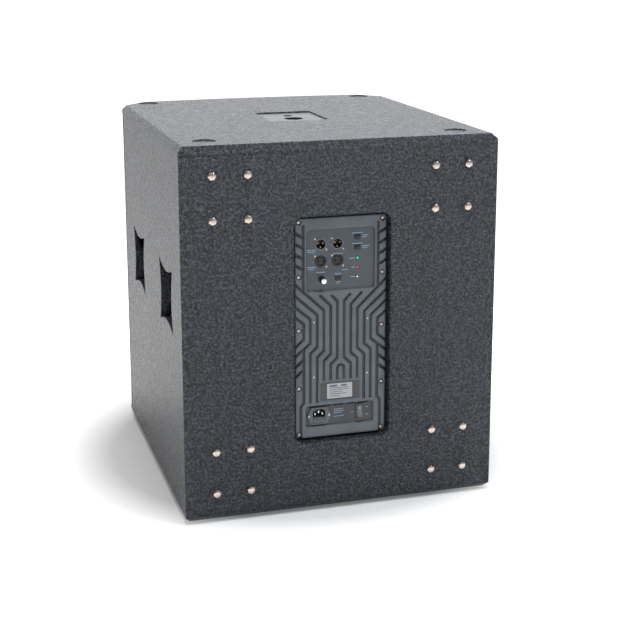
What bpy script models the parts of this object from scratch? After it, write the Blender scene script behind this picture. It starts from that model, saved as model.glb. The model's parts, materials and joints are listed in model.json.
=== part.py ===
"""Powered 18-inch subwoofer: plywood cabinet, plate amplifier, woofer, handles, feet and pole mount.

Units are metres. +Z is up, the grille faces -Y, the amplifier panel faces +Y, and the origin
is on the floor under the middle of the box.
"""

import math

import bmesh
import bpy
from mathutils import Matrix, Vector

# Driving dimensions of the cabinet.
WIDTH = 0.600
DEPTH = 0.700
HEIGHT = 0.700
PLY = 0.018
SIDE_DEPTH = 0.628
FOOT_DROP = 0.005
BOLT_HEAD = 0.005
GAP = 0.0003
TOP_CHAMFER = 0.0095
BASE_CHAMFER = 0.0090

HALF_W = WIDTH / 2
INNER_X = HALF_W - PLY
REAR_Y = DEPTH / 2 - BOLT_HEAD - GAP
SIDE_FRONT_Y = REAR_Y - SIDE_DEPTH
REAR_INNER_Y = REAR_Y - PLY
NOSE_Y = -DEPTH / 2
FLOOR_Z = FOOT_DROP + PLY
CEILING_Z = HEIGHT - PLY

# The front of the top and bottom panels: a shallow bow between two cut corners.
NOSE_SHOULDER_X = 0.250
NOSE_SHOULDER_Y = SIDE_FRONT_Y - 0.052
NOSE_STEPS = 8
GRILLE_INSET = 0.003
GRILLE_SHEET = 0.0012
GRILLE_FLANGE = 0.0155
REBATE = 0.0022
FOAM = 0.006

# Handles, feet and the pole mount.
HANDLE_Z = 0.400
HANDLE_YS = {"front": SIDE_FRONT_Y + 0.182, "rear": REAR_Y - 0.148}
HANDLE_WIDTH = 0.128
HANDLE_HEIGHT = 0.120
HANDLE_PINCH = 0.013
HANDLE_DEPTH = 0.050
HANDLE_WALL = 0.003
# The cup's rings: half width, half height and share of the depth, from the flange to the floor.
HANDLE_RINGS = (
    (0.088, 0.084, 0.0),
    (0.069, 0.065, 0.0),
    (0.066, 0.062, 0.45),
    (0.060, 0.055, 0.85),
    (0.042, 0.038, 1.0),
)
FOOT_X = 0.240
FOOT_YS = {"front": SIDE_FRONT_Y - 0.013, "rear": REAR_Y - 0.063}
FOOT_R = 0.019
DIMPLE_R = 0.021
DIMPLE_DEPTH = 0.002
POLE_PLATE_SIZE = (0.115, 0.137, 0.003)
POLE_PLATE_Y = SIDE_FRONT_Y + 0.280
POLE_REBATE = 0.006
POLE_Y = SIDE_FRONT_Y + 0.298
POLE_R = 0.0190
POLE_DEPTH = 0.090
POLE_TUBE_WALL = 0.0025
INSERT_Y = POLE_Y - 0.044
INSERT_R = 0.0095
INSERT_OUTER_R = 0.0145
INSERT_DEPTH = 0.030
HOLE_PLAY = 0.001

# The caster bolts: one 64 x 80 mm rectangle near each corner of the rear panel.
BOLT_X_INNER = 0.177
BOLT_X_OUTER = 0.2413
BOLT_ROWS = {"upper": (0.647, 0.567), "lower": (0.137, 0.057)}
BOLT_FLATS = 0.013
BOLT_SHANK_R = 0.004
BOLT_HOLE_R = 0.0048
NUT_PLATE = 0.003

# The plate amplifier, in a recess of the rear panel.
AMP_Z = 0.34975
AMP_OPENING = (0.183, 0.427, 0.018)
AMP_PLATE = (0.175, 0.419, 0.010)
AMP_PLATE_THICK = 0.0042
AMP_PLATE_Y = REAR_Y - 0.0125
AMP_BACK_Y = AMP_PLATE_Y - AMP_PLATE_THICK
AMP_TOP_Z = AMP_Z + AMP_PLATE[1] / 2
AMP_FRAME_OUTER = (0.230, 0.470, 0.010)
AMP_FRAME_INNER = (0.1504, 0.394, 0.004)
AMP_FRAME_THICK = 0.015
AMP_COVER = (0.146, 0.390)
AMP_COVER_DEPTH = 0.080
AMP_COVER_WALL = 0.0015
POCKET_DEPTH = 0.0045
POCKET_FLOOR = 0.003
POCKET_FLOOR_Y = AMP_PLATE_Y - POCKET_DEPTH
POCKET_BACK_Y = POCKET_FLOOR_Y - POCKET_FLOOR
BOARD_FACE_Y = POCKET_BACK_Y - 0.0205
BOARD_THICK = 0.0016
INPUT_BOARD = (0.120, 0.106)
AMP_BOARD = (0.128, 0.300)

# Places on the amplifier panel: x to the right as seen from behind, and down from the plate's top.
INPUT_POCKET = (0.0, 0.0805, 0.1320, 0.1176)
POWER_POCKET = (-0.0015, 0.3780, 0.1330, 0.0420)
LABEL_POCKET = (-0.0016, 0.3316, 0.0800, 0.0370)
LABEL_DEPTH = 0.002
XLR_COLUMNS = (-0.0375, -0.0053)
XLR_MALE_DOWN = 0.0508
XLR_FEMALE_DOWN = 0.0830
XLR_NOSE_R = 0.0113
XLR_PIN_CIRCLE_R = 0.0054
XLR_PIN_TURNS = (-110, 0, 110)
KNOB_AT = (-0.0357, 0.1166)
BUTTONS = {
    "crossover_button": (0.0326, 0.0406),
    "ground_lift_button": (0.0326, 0.0602),
    "polarity_button": (-0.0042, 0.1159),
}
LEDS = {"power_led": 0.0805, "limit_led": 0.0980, "signal_led": 0.1159}
LED_RIGHT = 0.0329
INLET_AT = (-0.0413, 0.3780)
SWITCH_AT = (0.0387, 0.3775)
BUTTON_TRAVEL = 0.0025
BUTTON_PROUD = 0.0028
SWITCH_TILT = math.radians(9)

# The woofer. Its own axis runs from the magnet (-) to the front (+), from the baffle's front face.
BAFFLE_Y = SIDE_FRONT_Y + 0.0133
WOOFER_Z = 0.410
WOOFER_R = 0.231
CUTOUT_R = 0.213
BASKET_WINDOWS = 6
PORT_HEIGHT = 0.100
SHELF = 0.015
SHELF_DEPTH = 0.300
SHELF_BOTTOM_Z = FLOOR_Z + PORT_HEIGHT
BRACE_Y = SIDE_FRONT_Y + 0.367
BRACE_WINDOW = (0.220, 0.240, 0.030)
BRACE_WINDOW_AT = (0.135, 0.155)

ROUND = 32
SMALL_ROUND = 16

UP = Matrix.Identity(4)
BACKWARD = Matrix.Rotation(-math.pi / 2, 4, "X")
FORWARD = Matrix.Rotation(math.pi / 2, 4, "X")
FACING = {
    "XY": Matrix.Identity(4),
    "XZ": Matrix.Rotation(math.pi / 2, 4, "X"),
    "YZ": Matrix(((0, 0, 1, 0), (1, 0, 0, 0), (0, 1, 0, 0), (0, 0, 0, 1))),
}


def clear_scene():
    for obj in list(bpy.data.objects):
        bpy.data.objects.remove(obj, do_unlink=True)


def new_collection(name):
    collection = bpy.data.collections.new(name)
    bpy.context.scene.collection.children.link(collection)
    return collection


clear_scene()
PARTS = new_collection("powered_subwoofer")
CUTTERS = new_collection("cutters")
CUTTERS.hide_render = True


def material(name, colour, roughness, metallic=0.0):
    made = bpy.data.materials.new(name)
    made.use_nodes = True
    shader = made.node_tree.nodes["Principled BSDF"]
    shader.inputs["Base Color"].default_value = (*colour, 1.0)
    shader.inputs["Roughness"].default_value = roughness
    shader.inputs["Metallic"].default_value = metallic
    return made


MATERIALS = {
    "cabinet_paint": material("cabinet_paint", (0.040, 0.044, 0.050), 0.60),
    "raw_plywood": material("raw_plywood", (0.520, 0.360, 0.200), 0.70),
    "painted_steel": material("painted_steel", (0.300, 0.310, 0.330), 0.45),
    "black_steel": material("black_steel", (0.020, 0.020, 0.022), 0.50, 0.6),
    "black_foam": material("black_foam", (0.012, 0.012, 0.012), 0.95),
    "black_plastic": material("black_plastic", (0.015, 0.015, 0.017), 0.35),
    "grey_plastic": material("grey_plastic", (0.300, 0.310, 0.330), 0.45),
    "rubber": material("rubber", (0.020, 0.020, 0.020), 0.85),
    "nickel_steel": material("nickel_steel", (0.640, 0.590, 0.540), 0.30, 1.0),
    "zinc_steel": material("zinc_steel", (0.550, 0.560, 0.580), 0.40, 1.0),
    "cast_aluminium": material("cast_aluminium", (0.095, 0.120, 0.145), 0.50, 0.4),
    "circuit_board": material("circuit_board", (0.020, 0.150, 0.060), 0.50),
    "ferrite": material("ferrite", (0.060, 0.060, 0.065), 0.60),
    "copper_wire": material("copper_wire", (0.600, 0.280, 0.140), 0.35, 1.0),
    "cone_paper": material("cone_paper", (0.030, 0.030, 0.032), 0.90),
    "doped_cloth": material("doped_cloth", (0.040, 0.038, 0.036), 0.80),
    "spider_cloth": material("spider_cloth", (0.550, 0.400, 0.180), 0.85),
    "fuse_glass": material("fuse_glass", (0.800, 0.850, 0.850), 0.10),
    "label_film": material("label_film", (0.350, 0.360, 0.370), 0.50),
    "green_lens": material("green_lens", (0.020, 0.550, 0.250), 0.20),
    "red_lens": material("red_lens", (0.600, 0.030, 0.030), 0.20),
    "white_lens": material("white_lens", (0.800, 0.820, 0.850), 0.20),
}


# ---------------------------------------------------------------- making shapes


def add(name, mesh, finish, place=UP):
    """Puts a mesh in the scene as a named part, or as a hidden tool when it has no finish."""
    obj = bpy.data.objects.new(name, mesh)
    obj.matrix_world = place
    if finish:
        mesh.materials.append(MATERIALS[finish])
        PARTS.objects.link(obj)
    else:
        obj.hide_render = True
        obj.display_type = "WIRE"
        CUTTERS.objects.link(obj)
    return obj


def box(name, low, high, finish=None):
    low = Vector(low)
    high = Vector(high)
    bm = bmesh.new()
    bmesh.ops.create_cube(bm, size=1.0, matrix=Matrix.Diagonal((*(high - low), 1.0)))
    mesh = bpy.data.meshes.new(name)
    bm.to_mesh(mesh)
    bm.free()
    return add(name, mesh, finish, Matrix.Translation((low + high) / 2))


def cylinder(name, radius, length, centre, turn=UP, finish=None, sides=SMALL_ROUND):
    """A cylinder about local Z, centred on a point."""
    bm = bmesh.new()
    bmesh.ops.create_cone(
        bm, cap_ends=True, segments=sides, radius1=radius, radius2=radius, depth=length
    )
    mesh = bpy.data.meshes.new(name)
    bm.to_mesh(mesh)
    bm.free()
    smooth(mesh)
    return add(name, mesh, finish, Matrix.Translation(centre) @ turn)


def smooth(mesh):
    mesh.shade_smooth()
    mesh.set_sharp_from_angle(angle=math.radians(35))


def turned(name, profile, centre, turn=UP, finish=None, steps=ROUND, ring=False):
    """A profile of (radius, height) points turned about local Z; a ring's profile is a closed loop."""
    bm = bmesh.new()
    verts = [bm.verts.new((radius, 0.0, height)) for radius, height in profile]
    for start, end in zip(verts, verts[1:]):
        bm.edges.new((start, end))
    if ring:
        bm.edges.new((verts[-1], verts[0]))
    mesh = bpy.data.meshes.new(name)
    bm.to_mesh(mesh)
    bm.free()
    obj = add(name, mesh, finish, Matrix.Translation(centre) @ turn)
    screw = obj.modifiers.new("turn", "SCREW")
    screw.axis = "Z"
    screw.steps = steps
    screw.render_steps = steps
    screw.use_merge_vertices = True
    screw.merge_threshold = 0.00001
    screw.use_smooth_shade = True
    return obj


def flat(name, loops, thickness, centre, plane="XY", finish=None):
    """Outlines, the first one outer and the others holes, as a plate centred on its thickness."""
    curve = bpy.data.curves.new(name, "CURVE")
    curve.dimensions = "2D"
    curve.fill_mode = "BOTH"
    curve.extrude = thickness / 2
    for loop in loops:
        spline = curve.splines.new("POLY")
        spline.points.add(len(loop) - 1)
        for point, (x, y) in zip(spline.points, loop):
            point.co = (x, y, 0.0, 1.0)
        spline.use_cyclic_u = True
    guide = bpy.data.objects.new(name + "_outline", curve)
    CUTTERS.objects.link(guide)
    bpy.context.view_layer.update()
    shape = guide.evaluated_get(bpy.context.evaluated_depsgraph_get())
    mesh = bpy.data.meshes.new_from_object(shape)
    bpy.data.objects.remove(guide, do_unlink=True)
    mesh.name = name
    bm = bmesh.new()
    bm.from_mesh(mesh)
    bmesh.ops.remove_doubles(bm, verts=bm.verts, dist=0.00001)
    bmesh.ops.recalc_face_normals(bm, faces=bm.faces)
    bm.to_mesh(mesh)
    bm.free()
    return add(name, mesh, finish, Matrix.Translation(centre) @ FACING[plane])


def shell(name, path, low_z, high_z, thickness, finish):
    """A sheet that follows a path seen from above, thickened towards the cabinet's inside."""
    bm = bmesh.new()
    verts = [bm.verts.new((x, y, low_z)) for x, y in path]
    edges = [bm.edges.new(pair) for pair in zip(verts, verts[1:])]
    raised = bmesh.ops.extrude_edge_only(bm, edges=edges)["geom"]
    moved = [item for item in raised if isinstance(item, bmesh.types.BMVert)]
    bmesh.ops.translate(bm, verts=moved, vec=(0.0, 0.0, high_z - low_z))
    bmesh.ops.recalc_face_normals(bm, faces=bm.faces)
    front = min(bm.faces, key=lambda face: face.calc_center_median().y)
    if front.normal.y > 0:
        bmesh.ops.reverse_faces(bm, faces=bm.faces)
    mesh = bpy.data.meshes.new(name)
    bm.to_mesh(mesh)
    bm.free()
    obj = add(name, mesh, finish)
    solidify = obj.modifiers.new("sheet", "SOLIDIFY")
    solidify.thickness = thickness
    solidify.offset = -1.0
    solidify.use_even_offset = True
    return obj


def boolean(obj, operation, tools):
    for tool in tools:
        modifier = obj.modifiers.new(tool.name, "BOOLEAN")
        modifier.operation = operation
        modifier.solver = "EXACT"
        modifier.object = tool
    return obj


def cut(obj, *tools):
    return boolean(obj, "DIFFERENCE", tools)


def join(obj, *tools):
    return boolean(obj, "UNION", tools)


# ---------------------------------------------------------------- outlines


def circle(radius, x=0.0, y=0.0, sides=SMALL_ROUND):
    turns = [2 * math.pi * (i + 0.5) / sides for i in range(sides)]
    return [(x + radius * math.cos(a), y + radius * math.sin(a)) for a in turns]


def rectangle(width, height, x=0.0, y=0.0, corner=0.0, steps=4):
    """A rectangle about (x, y), with quarter-circle corners if a corner radius is given."""
    if not corner:
        steps = 0
    points = []
    for quarter, (sx, sy) in enumerate(((1, 1), (-1, 1), (-1, -1), (1, -1))):
        for i in range(steps + 1):
            angle = math.pi / 2 * (quarter + (i / steps if steps else 0.0))
            cx = x + sx * (width / 2 - corner)
            cy = y + sy * (height / 2 - corner)
            points.append((cx + corner * math.cos(angle), cy + corner * math.sin(angle)))
    return points


def pinched(width, height, pinch, x=0.0, y=0.0, steps=6):
    """A rectangle whose four sides bow inwards between its corners."""
    corners = ((1, 1), (-1, 1), (-1, -1), (1, -1))
    points = []
    for (ax, ay), (bx, by) in zip(corners, corners[1:] + corners[:1]):
        for i in range(steps):
            t = i / steps
            dip = pinch * math.sin(math.pi * t)
            px = (ax + (bx - ax) * t) * width / 2
            py = (ay + (by - ay) * t) * height / 2
            px -= dip * (ax if ax == bx else 0)
            py -= dip * (ay if ay == by else 0)
            points.append((x + px, y + py))
    return points


def nose_path(inset, flange=0.0):
    """The front of the cabinet from +X to -X, moved in from the panels' edge; a flange runs back."""
    side_x = HALF_W - inset
    depth = NOSE_SHOULDER_Y - NOSE_Y
    bow = (NOSE_SHOULDER_X**2 + depth**2) / (2 * depth)
    half_turn = math.asin(NOSE_SHOULDER_X / bow)
    radius = bow - inset
    points = []
    for i in range(NOSE_STEPS + 1):
        angle = half_turn * (1 - 2 * i / NOSE_STEPS)
        points.append((radius * math.sin(angle), NOSE_Y + bow - radius * math.cos(angle)))
    corner_y = SIDE_FRONT_Y + inset * 0.6
    path = [(side_x, corner_y)] + points + [(-side_x, corner_y)]
    if flange:
        path = [(side_x, corner_y + flange)] + path + [(-side_x, corner_y + flange)]
    return path


def lid_outline():
    return [(-HALF_W, REAR_Y), (HALF_W, REAR_Y)] + nose_path(0.0)


# ---------------------------------------------------------------- cabinet


def chamfered(obj, level, width):
    """Chamfers the outer edge of a flat plate's face at a local height."""
    bm = bmesh.new()
    bm.from_mesh(obj.data)
    bmesh.ops.dissolve_limit(bm, angle_limit=0.001, verts=bm.verts, edges=bm.edges)
    rim = [
        edge
        for edge in bm.edges
        if all(abs(vert.co.z - level) < 0.00001 for vert in edge.verts)
        and abs(edge.calc_face_angle(0.0) - math.pi / 2) < 0.01
    ]
    bmesh.ops.bevel(bm, geom=rim, offset=width, offset_type="OFFSET", segments=1, affect="EDGES")
    bm.to_mesh(obj.data)
    bm.free()


def top_panel():
    panel = flat("top_panel", [lid_outline()], PLY, (0, 0, HEIGHT - PLY / 2), "XY", "cabinet_paint")
    chamfered(panel, PLY / 2, TOP_CHAMFER)
    dimples = [
        cylinder(f"dimple_{side}_{end}", DIMPLE_R, 2 * DIMPLE_DEPTH, (x, y, HEIGHT), sides=24)
        for side, x in (("left", -FOOT_X), ("right", FOOT_X))
        for end, y in FOOT_YS.items()
    ]
    width, length, _ = POLE_PLATE_SIZE
    rebate = box(
        "pole_rebate",
        (-width / 2 - GAP, POLE_PLATE_Y - length / 2 - GAP, HEIGHT - POLE_REBATE),
        (width / 2 + GAP, POLE_PLATE_Y + length / 2 + GAP, HEIGHT + 0.01),
    )
    pole_hole_r = POLE_R + POLE_TUBE_WALL + HOLE_PLAY
    insert_hole_r = INSERT_OUTER_R + HOLE_PLAY
    pole_hole = cylinder("pole_hole", pole_hole_r, 4 * PLY, (0, POLE_Y, HEIGHT), sides=24)
    insert_hole = cylinder("insert_hole", insert_hole_r, 4 * PLY, (0, INSERT_Y, HEIGHT), sides=24)
    cut(panel, *dimples, rebate, pole_hole, insert_hole)


def bottom_panel():
    middle = (0, 0, FOOT_DROP + PLY / 2)
    panel = flat("bottom_panel", [lid_outline()], PLY, middle, "XY", "cabinet_paint")
    chamfered(panel, -PLY / 2, BASE_CHAMFER)


def side_panel(name, side):
    height = CEILING_Z - FLOOR_Z - 2 * GAP
    middle_z = (CEILING_Z + FLOOR_Z) / 2
    middle_y = (REAR_Y + SIDE_FRONT_Y) / 2
    holes = [
        pinched(HANDLE_WIDTH, HANDLE_HEIGHT, HANDLE_PINCH, y - middle_y, HANDLE_Z - middle_z)
        for y in HANDLE_YS.values()
    ]
    outline = rectangle(SIDE_DEPTH, height)
    centre = (side * (HALF_W - PLY / 2), middle_y, middle_z)
    panel = flat(name, [outline, *holes], PLY, centre, "YZ", "cabinet_paint")
    reach = sorted((side * (HALF_W - REBATE), side * (HALF_W + 0.01)))
    rebate = box(
        name + "_rebate",
        (reach[0], SIDE_FRONT_Y - 0.01, 0),
        (reach[1], SIDE_FRONT_Y + GRILLE_FLANGE + 0.002, HEIGHT),
    )
    cut(panel, rebate)


def bolt_places(row, side):
    return [(side * x, z) for x in (BOLT_X_INNER, BOLT_X_OUTER) for z in BOLT_ROWS[row]]


def rear_panel():
    middle_z = (CEILING_Z + FLOOR_Z) / 2
    outline = rectangle(2 * (INNER_X - GAP), CEILING_Z - FLOOR_Z - 2 * GAP)
    width, height, corner = AMP_OPENING
    holes = [rectangle(width, height, 0, AMP_Z - middle_z, corner)]
    for row in BOLT_ROWS:
        for side in (-1, 1):
            for x, z in bolt_places(row, side):
                holes.append(circle(BOLT_HOLE_R, x, z - middle_z, 12))
    flat("rear_panel", [outline, *holes], PLY, (0, REAR_Y - PLY / 2, middle_z), "XZ", "cabinet_paint")


def front_baffle():
    low = SHELF_BOTTOM_Z + SHELF + GAP
    middle_z = (low + CEILING_Z - GAP) / 2
    outline = rectangle(2 * (INNER_X - GAP), CEILING_Z - GAP - low)
    hole = circle(CUTOUT_R, 0, WOOFER_Z - middle_z, 40)
    centre = (0, BAFFLE_Y + PLY / 2, middle_z)
    flat("front_baffle", [outline, hole], PLY, centre, "XZ", "cabinet_paint")


def port_and_brace():
    box(
        "port_shelf",
        (-INNER_X + GAP, BAFFLE_Y, SHELF_BOTTOM_Z),
        (INNER_X - GAP, BAFFLE_Y + SHELF_DEPTH, SHELF_BOTTOM_Z + SHELF),
        "raw_plywood",
    )
    box(
        "port_divider",
        (-PLY / 2, BAFFLE_Y, FLOOR_Z + GAP),
        (PLY / 2, BAFFLE_Y + SHELF_DEPTH, SHELF_BOTTOM_Z - GAP),
        "raw_plywood",
    )
    middle_z = (CEILING_Z + FLOOR_Z) / 2
    outline = rectangle(2 * (INNER_X - GAP), CEILING_Z - FLOOR_Z - 2 * GAP)
    width, height, corner = BRACE_WINDOW
    right, above = BRACE_WINDOW_AT
    windows = [
        rectangle(width, height, side * right, up * above, corner)
        for side in (-1, 1)
        for up in (-1, 1)
    ]
    centre = (0, BRACE_Y, middle_z)
    flat("cabinet_brace", [outline, *windows], PLY, centre, "XZ", "raw_plywood")


def grille_and_foam():
    low = FLOOR_Z + 0.0005
    high = CEILING_Z - 0.0005
    rebate_face = HALF_W - REBATE + GRILLE_SHEET + GAP
    path = nose_path(GRILLE_INSET)
    flange_y = SIDE_FRONT_Y + GRILLE_FLANGE
    path[0] = (rebate_face, SIDE_FRONT_Y - 0.0012)
    path[-1] = (-rebate_face, SIDE_FRONT_Y - 0.0012)
    path = [(rebate_face, flange_y)] + path + [(-rebate_face, flange_y)]
    shell("grille", path, low, high, GRILLE_SHEET, "black_steel")
    foam_path = nose_path(GRILLE_INSET + GRILLE_SHEET + 0.0008)
    foam_path[0] = (INNER_X + 0.004, SIDE_FRONT_Y - 0.0060)
    foam_path[-1] = (-INNER_X - 0.004, SIDE_FRONT_Y - 0.0060)
    shell("grille_foam", foam_path, low, high, FOAM, "black_foam")


def handle_cup(name, side, middle_y):
    """A flange against the panel's inner face, with a rounded bowl that a hand reaches into."""
    wall_x = INNER_X - GAP
    bm = bmesh.new()
    rings = []
    for half_y, half_z, down in HANDLE_RINGS:
        outline = rectangle(2 * half_y, 2 * half_z, 0, 0, 0.35 * half_z)
        depth = down * HANDLE_DEPTH
        x = side * (wall_x - depth)
        rings.append([bm.verts.new((x, middle_y + y, HANDLE_Z + z)) for y, z in outline])
    for outer, inner in zip(rings, rings[1:]):
        bmesh.ops.bridge_loops(bm, edges=ring_edges(bm, outer) + ring_edges(bm, inner))
    bmesh.ops.contextual_create(bm, geom=ring_edges(bm, rings[-1]))
    bmesh.ops.recalc_face_normals(bm, faces=bm.faces)
    first = max(bm.faces, key=lambda face: face.calc_area())
    if first.normal.x * side < 0:
        bmesh.ops.reverse_faces(bm, faces=bm.faces)
    mesh = bpy.data.meshes.new(name)
    bm.to_mesh(mesh)
    bm.free()
    smooth(mesh)
    cup = add(name, mesh, "black_plastic")
    wall = cup.modifiers.new("wall", "SOLIDIFY")
    wall.thickness = HANDLE_WALL
    wall.offset = -1.0


def ring_edges(bm, verts):
    """The edges of a closed loop of verts, made where they don't exist yet."""
    edges = []
    for start, end in zip(verts, verts[1:] + verts[:1]):
        edges.append(bm.edges.get((start, end)) or bm.edges.new((start, end)))
    return edges


def foot(name, x, y):
    profile = (
        (0.0, FOOT_DROP - GAP),
        (FOOT_R, FOOT_DROP - GAP),
        (FOOT_R - 0.002, 0.0),
        (0.006, 0.0),
        (0.006, 0.002),
        (0.0, 0.002),
    )
    turned(name, profile, (x, y, 0), UP, "rubber", 24)


def pole_mount():
    width, length, thick = POLE_PLATE_SIZE
    loops = [
        rectangle(width, length),
        circle(POLE_R, 0, POLE_Y - POLE_PLATE_Y, 24),
        circle(INSERT_R, 0, INSERT_Y - POLE_PLATE_Y, 16),
    ]
    plate_z = HEIGHT - POLE_REBATE + GAP
    middle = (0, POLE_PLATE_Y, plate_z + thick / 2)
    flat("pole_mount_plate", loops, thick, middle, "XY", "painted_steel")
    top = plate_z - GAP
    outer = POLE_R + POLE_TUBE_WALL
    tube = (
        (outer, top),
        (outer, top - POLE_DEPTH),
        (0.0, top - POLE_DEPTH),
        (0.0, top - POLE_DEPTH + 0.002),
        (POLE_R + 0.0002, top - POLE_DEPTH + 0.002),
        (POLE_R + 0.0002, top),
        (outer, top),
    )
    turned("pole_socket_tube", tube, (0, POLE_Y, 0), UP, "zinc_steel", 24)
    nut = (
        (INSERT_OUTER_R, top),
        (INSERT_OUTER_R, top - INSERT_DEPTH),
        (INSERT_R + 0.0002, top - INSERT_DEPTH),
        (INSERT_R + 0.0002, top),
    )
    turned("threaded_pole_insert", nut, (0, INSERT_Y, 0), UP, "zinc_steel", 16, ring=True)


def caster_bolt_set(name, row, side):
    """Four hex bolts screwed into one clamp plate behind the panel, as one body."""
    places = bolt_places(row, side)
    middle_x = sum(x for x, _ in places) / 4
    middle_z = sum(z for _, z in places) / 4
    plate_y = REAR_INNER_Y - GAP - NUT_PLATE / 2
    outline = rectangle(0.084, 0.100, 0, 0, 0.008, 2)
    plate = flat(name, [outline], NUT_PLATE, (middle_x, plate_y, middle_z), "XZ", "nickel_steel")
    head_r = BOLT_FLATS / math.sqrt(3)
    reach = PLY + NUT_PLATE + 0.004
    bolt = (
        (0.0, BOLT_HEAD + GAP),
        (head_r, BOLT_HEAD + GAP),
        (head_r, GAP),
        (BOLT_SHANK_R, GAP),
        (BOLT_SHANK_R, -reach),
        (0.0, -reach),
    )
    bolts = [
        turned(f"{name}_{i}", bolt, (x, REAR_Y, z), BACKWARD, steps=6)
        for i, (x, z) in enumerate(places)
    ]
    join(plate, *bolts)


# ---------------------------------------------------------------- amplifier


def panel_point(right, down):
    """World x and z of a place on the amplifier panel, as seen from behind."""
    return -right, AMP_TOP_Z - down


def pocket_box(name, pocket, low_y, high_y, grow=0.0):
    x, z = panel_point(pocket[0], pocket[1])
    outline = rectangle(pocket[2] + 2 * grow, pocket[3] + 2 * grow, 0, 0, 0.009 + grow)
    return flat(name, [outline], high_y - low_y, (x, (low_y + high_y) / 2, z), "XZ")


def through_hole(name, right, down, radius, sides=SMALL_ROUND):
    x, z = panel_point(right, down)
    return cylinder(name, radius, 0.06, (x, POCKET_FLOOR_Y, z), BACKWARD, sides=sides)


def through_slot(name, right, down, width, height):
    x, z = panel_point(right, down)
    low = (x - width / 2, POCKET_FLOOR_Y - 0.03, z - height / 2)
    high = (x + width / 2, POCKET_FLOOR_Y + 0.03, z + height / 2)
    return box(name, low, high)


def amp_plate():
    width, height, corner = AMP_PLATE
    outline = rectangle(width, height, 0, 0, corner)
    middle = (0, (AMP_PLATE_Y + AMP_BACK_Y) / 2, AMP_Z)
    plate = flat("amp_plate", [outline], AMP_PLATE_THICK, middle, "XZ", "cast_aluminium")
    join(
        plate,
        pocket_box("input_pocket_back", INPUT_POCKET, POCKET_BACK_Y, AMP_BACK_Y + 0.001, 0.003),
        pocket_box("power_pocket_back", POWER_POCKET, POCKET_BACK_Y, AMP_BACK_Y + 0.001, 0.0025),
    )
    cut(
        plate,
        pocket_box("input_pocket", INPUT_POCKET, POCKET_FLOOR_Y, AMP_PLATE_Y + 0.01),
        pocket_box("power_pocket", POWER_POCKET, POCKET_FLOOR_Y, AMP_PLATE_Y + 0.01),
        pocket_box("label_pocket", LABEL_POCKET, AMP_PLATE_Y - LABEL_DEPTH, AMP_PLATE_Y + 0.01),
        *[
            through_hole(f"xlr_hole_{i}_{j}", right, down, 0.0118)
            for i, right in enumerate(XLR_COLUMNS)
            for j, down in enumerate((XLR_MALE_DOWN, XLR_FEMALE_DOWN))
        ],
        through_hole("knob_hole", *KNOB_AT, 0.0049, 12),
        *[through_slot(name + "_hole", *at, 0.0120, 0.0090) for name, at in BUTTONS.items()],
        *[through_hole(name + "_hole", LED_RIGHT, down, 0.0022, 8) for name, down in LEDS.items()],
        through_slot("inlet_hole", INLET_AT[0], INLET_AT[1] + 0.0005, 0.0290, 0.0310),
        through_slot("switch_hole", *SWITCH_AT, 0.0132, 0.0272),
    )


def amp_surround():
    outer_w, outer_h, outer_corner = AMP_FRAME_OUTER
    inner_w, inner_h, inner_corner = AMP_FRAME_INNER
    frame_y = REAR_INNER_Y - GAP
    loops = [
        rectangle(outer_w, outer_h, 0, 0, outer_corner),
        rectangle(inner_w, inner_h, 0, 0, inner_corner),
    ]
    centre = (0, frame_y - AMP_FRAME_THICK / 2, AMP_Z)
    flat("amp_mounting_frame", loops, AMP_FRAME_THICK, centre, "XZ", "raw_plywood")
    seal_low = frame_y + GAP
    seal_high = AMP_BACK_Y - GAP
    loops = [
        rectangle(AMP_PLATE[0] - 0.002, AMP_PLATE[1] - 0.002, 0, 0, 0.009),
        rectangle(inner_w + 0.002, inner_h + 0.002, 0, 0, inner_corner),
    ]
    centre = (0, (seal_low + seal_high) / 2, AMP_Z)
    flat("amp_gasket", loops, seal_high - seal_low, centre, "XZ", "black_foam")


def amp_cover():
    """A sheet steel box behind the plate, open towards it."""
    half_w = AMP_COVER[0] / 2
    half_h = AMP_COVER[1] / 2
    rim_y = AMP_BACK_Y - GAP
    low_y = rim_y - AMP_COVER_DEPTH
    wall = AMP_COVER_WALL
    cover = box(
        "amp_cover",
        (-half_w, low_y, AMP_Z - half_h),
        (half_w, rim_y, AMP_Z + half_h),
        "zinc_steel",
    )
    inside = box(
        "amp_cover_inside",
        (-half_w + wall, low_y + wall, AMP_Z - half_h + wall),
        (half_w - wall, rim_y + 0.01, AMP_Z + half_h - wall),
    )
    cut(cover, inside)
    return low_y + wall


def amp_boards(inner_y):
    x, z = panel_point(INPUT_POCKET[0], INPUT_POCKET[1])
    half_w = INPUT_BOARD[0] / 2
    half_h = INPUT_BOARD[1] / 2
    box(
        "input_board",
        (x - half_w, BOARD_FACE_Y - BOARD_THICK, z - half_h),
        (x + half_w, BOARD_FACE_Y, z + half_h),
        "circuit_board",
    )
    board_y = inner_y + 0.006
    half_w = AMP_BOARD[0] / 2
    low_z = AMP_Z - AMP_COVER[1] / 2 + 0.010
    box(
        "amp_board",
        (-half_w, board_y, low_z),
        (half_w, board_y + BOARD_THICK, low_z + AMP_BOARD[1]),
        "circuit_board",
    )
    part_y = board_y + BOARD_THICK + GAP
    coil = (
        (0.026, 0.024),
        (0.028, 0.021),
        (0.028, 0.003),
        (0.026, 0.0),
        (0.012, 0.0),
        (0.010, 0.003),
        (0.010, 0.021),
        (0.012, 0.024),
    )
    middle = (-0.022, part_y, AMP_Z + 0.012)
    turned("power_transformer", coil, middle, BACKWARD, "copper_wire", 20, ring=True)


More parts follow.
